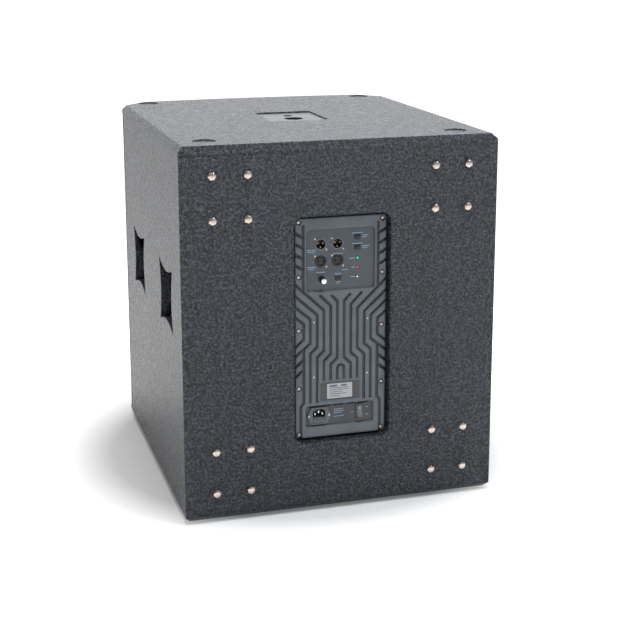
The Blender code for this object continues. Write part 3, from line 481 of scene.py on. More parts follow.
def skin(bm, rows, closed=False):
    """Faces between each row of points and the next, and between the last and the first if closed."""
    rings = [[bm.verts.new(point) for point in row] for row in rows]
    for ring, following in zip(rings, rings[1:] + rings[:1] if closed else rings[1:]):
        for i in range(len(ring) - 1):
            bm.faces.new((ring[i], ring[i + 1], following[i + 1], following[i]))
    return rings


def spokes(profile, angles):
    """A profile of (radius, height) points at each of some angles about Z."""
    return [[(r * math.cos(angle), r * math.sin(angle), h) for r, h in profile] for angle in angles]


def lathe(profile, steps=48):
    """A profile of (radius, height) points turned about Z."""
    bm = bmesh.new()
    skin(bm, spokes(profile, [2 * math.pi * i / steps for i in range(steps)]), closed=True)
    bmesh.ops.remove_doubles(bm, verts=bm.verts, dist=1e-7)
    bmesh.ops.recalc_face_normals(bm, faces=bm.faces)
    return mesh_of(bm, "turned")


def filleted(points, radius, closed=False, steps=4):
    """A line with its corners rounded by arcs of about the given radius."""
    count = len(points)
    corners = [Vector(p) for p in points]
    rounded = []
    for i, corner in enumerate(corners):
        if not closed and i in (0, count - 1):
            rounded.append(tuple(corner))
            continue
        before = corners[i - 1] - corner
        after = corners[(i + 1) % count] - corner
        reach = min(radius, 0.45 * before.length, 0.45 * after.length)
        start = corner + before.normalized() * reach
        end = corner + after.normalized() * reach
        for j in range(steps + 1):
            t = j / steps
            rounded.append(tuple(start * (1 - t) ** 2 + corner * 2 * t * (1 - t) + end * t**2))
    return rounded


def circle(radius, x=0.0, y=0.0, sides=40):
    turns = [2 * math.pi * i / sides for i in range(sides)]
    return [(x + radius * math.cos(a), y + radius * math.sin(a)) for a in turns]


def rectangle(width, height, x=0.0, y=0.0, corner=0.0, steps=5):
    """A rectangle's outline about (x, y), with its corners rounded where corner says."""
    quarters = ((1, 1), (-1, 1), (-1, -1), (1, -1))
    if not corner:
        return [(x + sx * width / 2, y + sy * height / 2) for sx, sy in quarters]
    points = []
    for quarter, (sx, sy) in enumerate(quarters):
        cx = x + sx * (width / 2 - corner)
        cy = y + sy * (height / 2 - corner)
        for i in range(steps + 1):
            angle = math.pi / 2 * (quarter + i / steps)
            points.append((cx + corner * math.cos(angle), cy + corner * math.sin(angle)))
    return points


def prism(loops, low, high, rim=0.0, steps=2, within=10.0):
    """A plate from low to high along Z: the first loop is its outline, the others its holes.
    rim rounds the edges of the upper face that are nearer the middle than within."""
    curve = bpy.data.curves.new("prism", "CURVE")
    curve.dimensions = "2D"
    curve.fill_mode = "BOTH"
    curve.extrude = (high - low) / 2
    for loop in loops:
        spline = curve.splines.new("POLY")
        spline.points.add(len(loop) - 1)
        for point, (x, y) in zip(spline.points, loop):
            point.co = (x, y, 0.0, 1.0)
        spline.use_cyclic_u = True
    guide = bpy.data.objects.new("prism", curve)
    bpy.context.scene.collection.objects.link(guide)
    shape = guide.evaluated_get(bpy.context.evaluated_depsgraph_get())
    mesh = bpy.data.meshes.new_from_object(shape)
    bpy.data.objects.remove(guide, do_unlink=True)
    bm = bmesh.new()
    bm.from_mesh(mesh)
    bpy.data.meshes.remove(mesh)
    bmesh.ops.translate(bm, verts=bm.verts, vec=(0, 0, (low + high) / 2))
    bmesh.ops.remove_doubles(bm, verts=bm.verts, dist=1e-6)
    bmesh.ops.dissolve_limit(bm, angle_limit=0.001, verts=bm.verts, edges=bm.edges)
    bmesh.ops.recalc_face_normals(bm, faces=bm.faces)
    if rim:
        edges = [
            edge
            for edge in bm.edges
            if all(abs(vert.co.z - high) < 1e-6 for vert in edge.verts)
            and edge.calc_face_angle(0.0) > 0.5
            and abs(edge.verts[0].co.x) < within
        ]
        bmesh.ops.bevel(bm, geom=edges, offset=rim, segments=steps, profile=0.5, affect="EDGES")
    return mesh_of(bm, "prism")


def rounded_box(low, high, radius, steps=2):
    low = Vector(low)
    high = Vector(high)
    bm = bmesh.new()
    bmesh.ops.create_cube(bm, size=1.0, matrix=Matrix.Diagonal((*(high - low), 1.0)))
    bmesh.ops.translate(bm, verts=bm.verts, vec=(low + high) / 2)
    bmesh.ops.bevel(bm, geom=bm.edges[:], offset=radius, segments=steps, profile=0.5, affect="EDGES")
    return mesh_of(bm, "block")


def merged(meshes, name):
    """Several meshes as one; an entry is a mesh, or a mesh with its place."""
    bm = bmesh.new()
    for entry in meshes:
        mesh, place = entry if isinstance(entry, tuple) else (entry, Matrix())
        part = mesh.copy()
        part.transform(place)
        bm.from_mesh(part)
        bpy.data.meshes.remove(part)
    return mesh_of(bm, name)


def carved(mesh, cutters, operation="DIFFERENCE"):
    """A mesh with other meshes cut out of it."""
    block = new_object("block", mesh)
    tools = [new_object("tool", cutter) for cutter in cutters]
    for tool in tools:
        modifier = block.modifiers.new("cut", "BOOLEAN")
        modifier.operation = operation
        modifier.solver = "EXACT"
        modifier.object = tool
    bpy.context.view_layer.update()
    made = bpy.data.meshes.new_from_object(block.evaluated_get(bpy.context.evaluated_depsgraph_get()))
    for obj in (block, *tools):
        bpy.data.objects.remove(obj, do_unlink=True)
    return made


def rounded_copy(node, radius, finish, steps=2, body="cabinet"):
    """A CAD node's own shape with its sharp edges rounded.
    radius is a number, or gives an edge's radius from its middle."""
    bm = bmesh.new()
    bm.from_mesh(frame["nodes"][node].data)
    bmesh.ops.remove_doubles(bm, verts=bm.verts, dist=1e-6)
    bmesh.ops.dissolve_limit(bm, angle_limit=0.002, verts=bm.verts, edges=bm.edges)
    bmesh.ops.recalc_face_normals(bm, faces=bm.faces)
    chosen = {}
    for edge in bm.edges:
        if edge.calc_face_angle(0.0) > SHARP_EDGE:
            middle = (edge.verts[0].co + edge.verts[1].co) / 2
            size = radius(middle) if callable(radius) else radius
            chosen.setdefault(round(size, 5), []).append(edge)
    for size, edges in sorted(chosen.items(), key=lambda item: item[0]):
        alive = [edge for edge in edges if edge.is_valid]
        if size > 0:
            bmesh.ops.bevel(bm, geom=alive, offset=size, segments=steps, profile=0.5, affect="EDGES")
    obj = piece(node + "_shown", mesh_of(bm, node), finish, None, body, (node,), 50)
    smooth = obj.modifiers.new("flat faces stay flat", "WEIGHTED_NORMAL")
    smooth.keep_sharp = True
    return obj


# ---------------------------------------------------------------- the cabinet


def panels():
    for node in ("top_panel", "bottom_panel", "left_side_panel", "right_side_panel"):
        rounded_copy(node, outer_edge, "cabinet_paint")
    rounded_copy("front_baffle", outer_edge, "cabinet_paint")
    rear_panel()
    for node in ("port_shelf", "port_divider", "cabinet_brace"):
        rounded_copy(node, 0.0004, "raw_plywood", 1)
    # The mounting frame takes the black foam finish, as painted shade in the gap round the amplifier plate.
    rounded_copy("amp_mounting_frame", 0.0004, "black_foam", 1)


def outer_edge(middle):
    """Edges that meet another panel stay sharp, because filler and paint close the joints."""
    at_back = middle.y > REAR_Y - 1e-4 and abs(middle.x) < INNER_X + 0.001
    inside = abs(middle.x) < INNER_X + 0.001 and INNER_LOW - 0.001 < middle.z < INNER_HIGH + 0.001
    seam = abs(middle.z - INNER_LOW) < 0.0006 or abs(middle.z - INNER_HIGH) < 0.0006
    return 0.0 if at_back or seam or inside and middle.y > -0.26 else 0.0009


def rear_panel():
    """The rear panel with its amplifier opening, whose edge is rounded over."""
    low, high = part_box("rear_panel")
    middle_z = (low.z + high.z) / 2
    opening_y = PLATE_HIGH.z - PLATE_HEIGHT / 2 - middle_z
    opening = rectangle(0.183, 0.427, 0, opening_y, 0.018, 10)
    outline = rectangle(high.x - low.x, high.z - low.z)
    place = Matrix.Translation((0, low.y, middle_z)) @ OUTWARDS
    mesh = prism([outline, opening], 0, high.y - low.y, 0.0030, 5, 0.2)
    piece("rear_panel_shown", mesh, "cabinet_paint", place, "cabinet", ("rear_panel",), 50)


def joint_filler():
    """The filler in the joints around the rear panel and under the top, just below the painted faces."""
    low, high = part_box("rear_panel")
    wide = 0.0008
    middle_z = (low.z + high.z) / 2
    outer = rectangle(high.x - low.x + wide, high.z - low.z + wide)
    inner = rectangle(high.x - low.x - wide, high.z - low.z - wide)
    place = Matrix.Translation((0, REAR_Y, middle_z)) @ OUTWARDS
    parts = [(prism([outer, inner], -0.0040, -0.00005), place)]
    for z in (INNER_LOW + 0.00015, INNER_HIGH - 0.00015):
        for side in (-1, 1):
            x = side * (HIGH.x - 0.0021)
            near = (x - 0.002, SIDE_FRONT_Y + 0.004, z - 0.0004)
            far = (x + 0.002, REAR_Y - 0.001, z + 0.0004)
            parts.append(rounded_box(near, far, 0.0001, 1))
    piece("joint_filler", merged(parts, "joint_filler"), "cabinet_paint")


def handles():
    for side in ("left", "right"):
        for end in ("front", "rear"):
            rounded_copy(f"{side}_{end}_handle_cup", 0.0, "gloss_plastic", 1)


def feet():
    head = screw_head(0.0045, 0.0016)
    for node in ("front_left_foot", "front_right_foot", "rear_left_foot", "rear_right_foot"):
        low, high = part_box(node)
        middle = (low + high) / 2
        rounded_copy(node, 0.0, "rubber", 1)
        place = Matrix.Translation((middle.x, middle.y, low.z + 0.0019)) @ Matrix.Rotation(math.pi, 4, "X")
        piece(node + "_screw", merged([(head, place)], node), "zinc_steel")


def pole_mount():
    rounded_copy("pole_mount_plate", 0.0004, "painted_steel")
    low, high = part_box("threaded_pole_insert")
    middle = (low + high) / 2
    pitch = 0.0025
    outer = (high.x - low.x) / 2
    profile = [(outer, 0.0), (outer, -(high.z - low.z))]
    threads = []
    for i in range(11):
        threads += [(0.0095, -pitch * i), (0.0095, -pitch * (i + 0.25)), (0.0106, -pitch * (i + 0.6))]
    loop = [(outer, 0.0), (0.0106, 0.0)] + threads + [(0.0095, profile[1][1]), profile[1], profile[0]]
    place = Matrix.Translation((middle.x, middle.y, high.z))
    piece("pole_insert_threads", lathe(loop), "zinc_steel", place, "cabinet", ("threaded_pole_insert",))
    low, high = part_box("pole_socket_tube")
    middle = (low + high) / 2
    outer = (high.x - low.x) / 2
    wall = 0.0025
    drop = high.z - low.z
    loop = filleted([(outer, 0.0), (outer, -drop), (0.0, -drop)], 0.001)
    loop += filleted([(0.0, wall - drop), (outer - wall, wall - drop), (outer - wall, 0.0)], 0.002)
    place = Matrix.Translation((middle.x, middle.y, high.z))
    piece("pole_tube", lathe(loop + [loop[0]]), "black_steel", place, "cabinet", ("pole_socket_tube",))


def screw_head(radius, height):
    """A pan head with a cross recess, standing on Z = 0."""
    profile = [(0.0, height), (0.45 * radius, 0.97 * height), (0.8 * radius, 0.72 * height)]
    profile += [(0.97 * radius, 0.35 * height), (radius, 0.0), (radius, -0.0005), (0.0, -0.0005)]
    arm = 0.62 * radius
    half = 0.15 * radius
    floor = 0.35 * height
    bars = [
        rounded_box((-arm, -half, floor), (arm, half, 2 * height), 0.1 * half, 1),
        rounded_box((-half, -arm, floor), (half, arm, 2 * height), 0.1 * half, 1),
    ]
    return carved(lathe(profile, 24), bars)


def hex_bolt():
    """A hex head with a washer face under it and a domed, chamfered top, standing on Z = 0."""
    flats = 0.013
    height = BOLT_HEAD
    block = prism([circle(flats / math.sqrt(3), sides=6)], 0.0004, height)
    dome = [(0.0, height), (0.0030, height - 0.0001), (0.0054, height - 0.0006), (0.0064, height - 0.0013)]
    dome += [(0.0078, height - 0.0022), (0.0090, height - 0.0034), (0.0090, -0.001), (0.0, -0.001)]
    head = carved(block, [lathe(dome, 48)], "INTERSECT")
    face = lathe([(0.0, 0.0005), (0.0062, 0.0005), (0.0064, 0.0003), (0.0064, 0.0), (0.0, 0.0)], 36)
    return merged([head, face], "bolt")


def caster_bolts():
    bolt = hex_bolt()
    for row in ("upper", "lower"):
        for side in ("left", "right"):
            node = f"{row}_{side}_caster_bolts"
            low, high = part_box(node)
            middle = (low + high) / 2
            spread_x = (high.x - low.x) / 2 - 0.00985
            spread_z = (high.z - low.z) / 2 - 0.0100
            parts = []
            for number, (sx, sz) in enumerate(((-1, -1), (-1, 1), (1, -1), (1, 1))):
                turn = Matrix.Rotation(0.7 + 1.9 * number, 4, "Z")
                spot = (middle.x + sx * spread_x, REAR_Y + 0.0003, middle.z + sz * spread_z)
                parts.append((bolt, Matrix.Translation(spot) @ OUTWARDS @ turn))
                shank = lathe([(0.0, 0.0), (0.0039, 0.0), (0.0039, -0.0220), (0.0, -0.0220)], 24)
                parts.append((shank, Matrix.Translation(spot) @ OUTWARDS))
            plate = prism([rectangle(high.x - low.x, high.z - low.z, 0, 0, 0.003)], 0, 0.003, 0.0004)
            parts.append((plate, Matrix.Translation((middle.x, low.y, middle.z)) @ OUTWARDS))
            piece(node + "_shown", merged(parts, node), "nickel_steel", None, "cabinet", (node,))


# ---------------------------------------------------------------- the grille


def nose_path(inset):
    """The grille's line from +X to -X around the front, and the flanges that run back from it."""
    shoulder_x, shoulder_y = 0.250, SIDE_FRONT_Y - 0.052
    depth = shoulder_y - LOW.y
    bow = (shoulder_x**2 + depth**2) / (2 * depth)
    half_turn = math.asin(shoulder_x / bow)
    radius = bow - inset
    steps = 48
    points = []
    for i in range(steps + 1):
        angle = half_turn * (1 - 2 * i / steps)
        points.append((radius * math.sin(angle), LOW.y + bow - radius * math.cos(angle)))
    corner = SIDE_FRONT_Y + inset * 0.6
    side_x = HIGH.x - inset
    return [(side_x, corner)] + points + [(-side_x, corner)]


class BentSheet:
    """Carries flat points (along, z, proud) onto the bowed front."""

    def __init__(self, inset):
        self.path = np.array(nose_path(inset))
        steps = np.diff(self.path, axis=0)
        lengths = np.hypot(steps[:, 0], steps[:, 1])
        self.at = np.concatenate(([0.0], np.cumsum(lengths)))
        turns = np.stack((steps[:, 1], -steps[:, 0]), axis=1) / lengths[:, None]
        self.mid_at = (self.at[1:] + self.at[:-1]) / 2
        self.outward = -turns if turns[len(turns) // 2, 1] > 0 else turns

    @property
    def length(self):
        return float(self.at[-1])

    def bend(self, points):
        along, z, proud = points.T
        x = np.interp(along, self.at, self.path[:, 0])
        y = np.interp(along, self.at, self.path[:, 1])
        out_x = np.interp(along, self.mid_at, self.outward[:, 0])
        out_y = np.interp(along, self.mid_at, self.outward[:, 1])
        return np.stack((x + proud * out_x, y + proud * out_y, z), axis=1)


def grille():
    sheet = BentSheet(GRILLE_INSET)
    low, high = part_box("grille")
    pitch = 0.0100
    outer = pitch / math.sqrt(3)
    inner = outer * 0.80
    border = 0.0120
    columns = int((sheet.length - 2 * border) / pitch)
    rows = int((high.z - low.z - 2 * border) / (outer * 1.5))
    left = (sheet.length - (columns - 0.5) * pitch) / 2
    bottom = (low.z + high.z) / 2 - (rows - 1) * outer * 0.75
    turns = np.radians(30 + 60 * np.arange(6))
    ring = np.stack((np.cos(turns), np.sin(turns)), axis=1)
    verts = []
    faces = []
    for row in range(rows):
        for column in range(columns):
            centre = np.array((left + pitch * (column + 0.5 * (row % 2)), bottom + row * outer * 1.5))
            start = len(verts)
            for size, proud in ((outer, 0.0), (inner, 0.0), (inner, -GRILLE_SHEET)):
                verts += [(*(centre + size * spoke), proud) for spoke in ring]
            for i in range(6):
                j = (i + 1) % 6
                faces.append((start + i, start + j, start + 6 + j, start + 6 + i))
                faces.append((start + 6 + i, start + 6 + j, start + 12 + j, start + 12 + i))
    mesh = bpy.data.meshes.new("grille_mesh")
    mesh.from_pydata(sheet.bend(np.array(verts)).tolist(), [], faces)
    bm = bmesh.new()
    bm.from_mesh(mesh)
    bmesh.ops.remove_doubles(bm, verts=bm.verts, dist=2e-5)
    bmesh.ops.recalc_face_normals(bm, faces=bm.faces)
    piece("grille_mesh", mesh_of(bm, "grille_mesh"), "black_steel", None, "cabinet", ("grille",), 20)
    grille_rim(sheet, low, high, border + 0.004)


def grille_rim(sheet, low, high, border):
    """The plain margin round the holes, folded back along the cabinet's sides and closed at its ends."""
    steps = 60
    alongs = np.linspace(0.0, sheet.length, steps + 1)
    heights = (low.z, low.z + border, high.z - border, high.z)
    bm = bmesh.new()

    def level(z, proud=0.00005):
        flat = np.array([(a, z, proud) for a in alongs])
        return [tuple(p) for p in sheet.bend(flat)]

    lip = 0.004
    bottom, top = heights[:2], heights[2:]
    skin(bm, [level(bottom[0], -lip), level(bottom[0]), level(bottom[1]), level(bottom[1], -GRILLE_SHEET)])
    skin(bm, [level(top[0], -GRILLE_SHEET), level(top[0]), level(top[1]), level(top[1], -lip)])
    for side in (-1, 1):
        x = side * (HIGH.x - 0.0007)
        first, after = sheet.path[:2] if side > 0 else sheet.path[::-1][:2]
        turn_y = first[1]
        lean = (after - first) / np.linalg.norm(after - first)
        reach = border + 0.001
        edge = [(x, high_y) for high_y in (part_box("grille")[1].y, turn_y + 0.0012)]
        edge += [(x - side * 0.0004, turn_y + 0.0003)]
        edge += [tuple(first + lean * 0.0015), tuple(first + lean * reach)]
        skin(bm, [[(px, py, z) for px, py in edge] for z in np.linspace(low.z, high.z, 12)])
    bmesh.ops.recalc_face_normals(bm, faces=bm.faces)
    obj = piece("grille_rim", mesh_of(bm, "grille_rim"), "black_steel", None, "cabinet", (), 50)
    thick = obj.modifiers.new("sheet", "SOLIDIFY")
    thick.thickness = 0.0010
    thick.offset = -1.0
    head = screw_head(0.0036, 0.0009)
    flange_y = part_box("grille")[1].y - 0.0085
    parts = []
    for side in (-1, 1):
        out = Matrix.Rotation(side * math.pi / 2, 4, "Y")
        for z in (0.080, 0.195, 0.353, 0.511, 0.630):
            spot = Matrix.Translation((side * (HIGH.x - 0.0009), flange_y, z))
            parts.append((head, spot @ out))
    piece("grille_screws", merged(parts, "grille_screws"), "zinc_steel")


# ---------------------------------------------------------------- the amplifier's casting


def groove_lines():
    """The casting's grooves as lines of (right, down) points; the left half mirrors the right."""
    edge = PLATE_WIDTH / 2 + 0.004
    lines = []
    for k in range(6):
        right = GROOVE_PITCH * (k + 0.5)
        top = 0.1585 + 0.0077 * k
        bend = 0.2670 - 0.0079 * k
        reach = (0.0111, 0.0200)[k] if k < 2 else edge - right
        slope = 1.02 if k < 2 else 0.94 - 0.045 * (k - 2)
        line = [(right + reach, top - slope * reach), (right, top), (right, bend)]
        if k < 4:
            line.append((right + GROOVE_PITCH, bend + 0.0120))
            line.append((right + GROOVE_PITCH, 0.3100 if k < 2 else 0.3500))
        else:
            line.append((edge, bend + 0.80 * (edge - right)))
        lines.append(line)
    outer = GROOVE_PITCH * 5.5
    lines.append([(outer, 0.2480), (outer, 0.3500), (0.0775, 0.3570), (0.0775, 0.4180)])
    for down in (0.2660, 0.2850):
        lines.append([(outer, down), (edge, down + 0.80 * (edge - outer))])
    lines.append([(0.0720, 0.0140), (0.0720, 0.1340)])
    for down in (0.0268, 0.0467, 0.0665, 0.0863):
        lines.append([(edge, down - 0.002), (0.0720, down + 0.0083)])
    arch = [(0.0065 * math.sin(a), 0.2876 - 0.0065 * math.cos(a)) for a in np.linspace(0, math.pi / 2, 7)]
    lines.append(arch + [(0.0065, 0.3100)])
    return lines


def distance_to_lines(u, v, lines):
    nearest = np.full(u.shape, 1.0)
    for line in lines:
        for (ax, ay), (bx, by) in zip(line, line[1:]):
            run = (bx - ax) ** 2 + (by - ay) ** 2
            t = np.clip(((u - ax) * (bx - ax) + (v - ay) * (by - ay)) / run, 0.0, 1.0)
            nearest = np.minimum(nearest, np.hypot(u - ax - t * (bx - ax), v - ay - t * (by - ay)))
    return nearest


def box_distance(u, v, area, corner):
    """How far points are outside a rounded rectangle, and less than nought inside it."""
    right, down, width, height = area
    du = np.abs(u - right) - (width / 2 - corner)
    dv = np.abs(v - down) - (height / 2 - corner)
    outside = np.hypot(np.maximum(du, 0.0), np.maximum(dv, 0.0))
    return outside + np.minimum(np.maximum(du, dv), 0.0) - corner


def ease(value):
    t = np.clip(value, 0.0, 1.0)
    return t * t * (3 - 2 * t)


def plate_depth(u, v):
    """How far the casting's face lies below its highest level."""
    lines = groove_lines()
    away = distance_to_lines(np.abs(u), v, lines)
    depth = GROOVE_DEPTH * ease((GROOVE_HALF - away) / (GROOVE_HALF - GROOVE_FLOOR))
    notches = [line for line in lines if len(line) == 2 and line[0][0] != line[1][0]]
    near = distance_to_lines(np.abs(u), v, notches)
    depth = np.maximum(depth, 1.15 * GROOVE_DEPTH * ease((NOTCH_HALF - near) / (NOTCH_HALF - 0.0014)))
    arches = 0.00035 * ease(away / 0.0065)
    depth = depth + 0.00035 - arches
    for side in (-1, 1):
        for down in EDGE_SCREW_DOWNS:
            near = np.hypot(u - side * EDGE_SCREW_RIGHT, v - down)
            depth = np.maximum(depth, EDGE_SCREW_RECESS * ease((0.0056 - near) / 0.0012))
    sides = box_distance(u, v, (0.0, PLATE_HEIGHT / 2, PLATE_WIDTH, PLATE_HEIGHT), PLATE_CORNER)
    depth = depth + 0.0012 * ease(1.0 + sides / 0.0014)
    for area, floor, corner in (
        (INPUT_POCKET, POCKET_DEPTH, INPUT_CORNER),
        (POWER_POCKET, POCKET_DEPTH, POWER_CORNER),
        (LABEL_POCKET, LABEL_DEPTH, LABEL_CORNER),
    ):
        inside = -box_distance(u, v, area, corner)
        rim = ease((0.0045 + inside) / 0.0040)
        depth = depth * (1 - rim)
        depth = depth + floor * ease((inside + 0.0004) / POCKET_FILLET)
    return np.maximum(depth, 0.0055 * vents(u, v))


def vents(u, v):
    """The five slots along the power pocket's upper edge: shallow hollows whose black finish is painted
    shade, standing in for open slots.
    """
    open_slots = np.zeros(u.shape, bool)
    for i in range(5):
        open_slots |= box_distance(u, v, (-0.0036 + 0.0239 * (i - 2), 0.3590, 0.0204, 0.0027), 0.001) < 0
    return open_slots


def plate_holes(u, v):
    """Where the casting is cut through for the pieces that it holds."""
    cut = np.zeros(u.shape, bool)
    for right, down in (*MALE_SOCKETS.values(), *FEMALE_SOCKETS.values()):
        cut |= np.hypot(u - right, v - down) < 0.0106
    cut |= np.hypot(u - KNOB_AT[0], v - KNOB_AT[1]) < 0.0042
    for right, down in BUTTONS.values():
        cut |= box_distance(u, v, (right, down, 0.0112, 0.0082), 0.001) < 0
    for right, down in LEDS.values():
        cut |= np.hypot(u - right, v - down) < 0.0020
    cut |= box_distance(u, v, (*INLET_AT, 0.0270, 0.0290), 0.001) < 0
    cut |= box_distance(u, v, (*SWITCH_AT, 0.0125, 0.0265), 0.001) < 0
    return cut


def amp_plate():
    across = int(round(PLATE_WIDTH / CELL))
    along = int(round(PLATE_HEIGHT / CELL))
    us = np.linspace(-PLATE_WIDTH / 2, PLATE_WIDTH / 2, across + 1)
    vs = np.linspace(0, PLATE_HEIGHT, along + 1)
    u, v = np.meshgrid(us, vs)
    # The grid's corners are drawn in to the plate's rounded ones.
    du = np.abs(u) - (PLATE_WIDTH / 2 - PLATE_CORNER)
    dv = np.abs(v - PLATE_HEIGHT / 2) - (PLATE_HEIGHT / 2 - PLATE_CORNER)
    corner = (du > 0) & (dv > 0)
    reach = np.hypot(du, dv)
    square = np.maximum(du, dv)
    draw = np.where(corner, square / np.maximum(reach, 1e-9), 1.0)
    u = np.where(corner, np.sign(u) * (PLATE_WIDTH / 2 - PLATE_CORNER + du * draw), u)
    v = np.where(
        corner,
        PLATE_HEIGHT / 2 + np.sign(v - PLATE_HEIGHT / 2) * (PLATE_HEIGHT / 2 - PLATE_CORNER + dv * draw),
        v,
    )
    depth = plate_depth(u, v)
    width = across + 1
    verts = np.stack((u.ravel(), -v.ravel(), -depth.ravel()), axis=1)
    row, column = np.meshgrid(np.arange(along), np.arange(across), indexing="ij")
    first = (row * width + column).ravel()
    faces = np.stack((first, first + width, first + width + 1, first + 1), axis=1)
    mid_u = u.ravel()[faces].mean(axis=1)
    mid_v = v.ravel()[faces].mean(axis=1)
    kept = ~plate_holes(mid_u, mid_v)
    faces, mid_u, mid_v = faces[kept], mid_u[kept], mid_v[kept]
    rim = list(range(width)) + [r * width + across for r in range(1, along + 1)]
    rim += [along * width + c for c in range(across - 1, -1, -1)]
    rim += [r * width for r in range(along - 1, 0, -1)]
    skirt = verts[rim].copy()
    skirt[:, 2] = -PLATE_THICK
    base = len(verts)
    count = len(rim)
    sides = [(rim[i], rim[(i + 1) % count], base + (i + 1) % count, base + i) for i in range(count)]
    mesh = bpy.data.meshes.new("amp_plate")
    mesh.from_pydata(np.vstack((verts, skirt)).tolist(), [], faces.tolist() + sides)
    piece("amp_plate_casting", mesh, "cast_aluminium", PANEL, "cabinet", ("amp_plate",), 80)
    for finish in ("floor_aluminium", "brown_aluminium", "black_foam", "dark_aluminium"):
        mesh.materials.append(FINISHES[finish])
    # The vent slots take the black foam finish as painted shade.
    ridge, input_floor, label_floor, vent_shade, dark = range(5)
    in_input = box_distance(mid_u, mid_v, INPUT_POCKET, INPUT_CORNER) < -POCKET_FILLET
    in_power = box_distance(mid_u, mid_v, POWER_POCKET, POWER_CORNER) < -POCKET_FILLET
    in_label = box_distance(mid_u, mid_v, LABEL_POCKET, LABEL_CORNER) < -0.0016
    # Faces deeper than this take the darkest finish as painted shade, in the grooves, notches, screw
    # scallops and pocket walls; the power pocket's floor has the same finish as its darker tone.
    painted_hollow_shade = depth.ravel()[faces].mean(axis=1) > HOLLOW_SHADE_DEPTH
    regions = (vents(mid_u, mid_v), in_input, in_power, in_label, painted_hollow_shade)
    indices = np.select(regions, (vent_shade, input_floor, dark, label_floor, dark), ridge)
    skirt_indices = np.full(count, ridge)
    mesh.polygons.foreach_set("material_index", [*indices.tolist(), *skirt_indices.tolist()])


def on_panel(right, down, out=0.0):
    return PANEL @ Matrix.Translation((right, -down, out))


def panel_screws():
    large = screw_head(0.0033, 0.0014)
    small = screw_head(0.0019, 0.0009)
    parts = []
    for side in (-1, 1):
        for i, down in enumerate(EDGE_SCREW_DOWNS):
            turn = Matrix.Rotation(0.5 + 1.3 * i + side, 4, "Z")
            parts.append((large, on_panel(side * EDGE_SCREW_RIGHT, down, -EDGE_SCREW_RECESS) @ turn))
    for right, down in (*MALE_SOCKETS.values(), *FEMALE_SOCKETS.values()):
        for side in (-1, 1):
            spot = (right + side * XLR_SCREW_OFFSET[0], down + side * XLR_SCREW_OFFSET[1])
            parts.append((small, on_panel(*spot, FLOOR_OUT) @ Matrix.Rotation(0.4 * side, 4, "Z")))
    for right in INLET_SCREWS:
        parts.append((small, on_panel(right, INLET_AT[1], INLET_FACE_OUT) @ Matrix.Scale(1.25, 4)))
    for i, (right, down) in enumerate(FACE_SCREWS):
        parts.append((small, on_panel(right, down, -0.0003) @ Matrix.Rotation(0.8 * i, 4, "Z")))
    piece("panel_screws", merged(parts, "panel_screws"), "nickel_steel")


# ---------------------------------------------------------------- sockets, controls and lights


def pin_places():
    turns = [math.radians(a) for a in (-110, 0, 110)]
    return [(0.0054 * math.sin(a), -0.0054 * math.cos(a)) for a in turns]


def xlr_sockets():
    for node, spot in MALE_SOCKETS.items():
        male_socket(node, on_panel(*spot, FLOOR_OUT))
    for node, spot in FEMALE_SOCKETS.items():
        female_socket(node, on_panel(*spot, FLOOR_OUT))


def male_socket(node, place):
    ring = [(0.0089, -0.0200), (0.0089, 0.0004), (0.0092, 0.0008), (0.0099, 0.0008), (0.0101, 0.0004)]
    ring += [(0.0104, 0.0004), (0.0106, 0.0008), (0.0113, 0.0006), (0.0116, 0.0002), (0.0116, -0.0004)]
    ring += [(0.0104, -0.0004), (0.0104, -0.0200), (0.0089, -0.0200)]
    piece(node + "_shell", lathe(ring, 64), "grey_plastic", place, "cabinet", (node,))
    liner = [(0.0, -0.0160), (0.0088, -0.0160), (0.0088, -0.0010)]
    liner += [(0.0089, -0.0010), (0.0089, -0.0210), (0.0, -0.0210)]
    key = rounded_box((-0.0016, 0.0070, -0.0160), (0.0016, 0.0090, -0.0012), 0.0003)
    piece(node + "_liner", merged([lathe(liner), key], node), "black_plastic", place)
    tip = filleted([(0.0, -0.0016), (0.0012, -0.0018), (0.0012, -0.0165)], 0.0009)
    pin = lathe(tip + [(0.0, -0.0165)], 20)
    pins = [(pin, Matrix.Translation((x, y, 0))) for x, y in pin_places()]
    piece(node + "_pins", merged(pins, node), "gold_contact", place)


def female_socket(node, place):
    ring = [(0.0081, -0.0200), (0.0081, 0.0002), (0.0085, 0.0008), (0.0107, 0.0008), (0.0113, 0.0005)]
    ring += [(0.0116, 0.0001), (0.0116, -0.0004), (0.0104, -0.0004), (0.0104, -0.0200), (0.0081, -0.0200)]
    tab = rounded_box((-0.0030, 0.0086, 0.0002), (0.0030, 0.0108, 0.0013), 0.0004)
    shell = merged([lathe(ring, 64), tab], node)
    piece(node + "_shell", shell, "socket_plastic", place, "cabinet", (node,))
    holes = [circle(0.0017, x, y, 20) for x, y in pin_places()]
    core = prism([circle(0.0080, sides=48)] + holes, -0.0120, -0.0005, 0.0003)
    piece(node + "_core", core, "dark_plastic", place)
    wall = [(0.0017, -0.0100), (0.0013, -0.0030), (0.0011, -0.0030), (0.0011, -0.0100), (0.0017, -0.0100)]
    contact = lathe(wall, 20)
    sockets = [(contact, Matrix.Translation((x, y, 0))) for x, y in pin_places()]
    backing = lathe([(0.0, -0.0100), (0.0080, -0.0100), (0.0080, -0.0125), (0.0, -0.0125)], 32)
    piece(node + "_contacts", merged(sockets, node), "gold_contact", place)
    piece(node + "_backing", backing, "black_plastic", place)


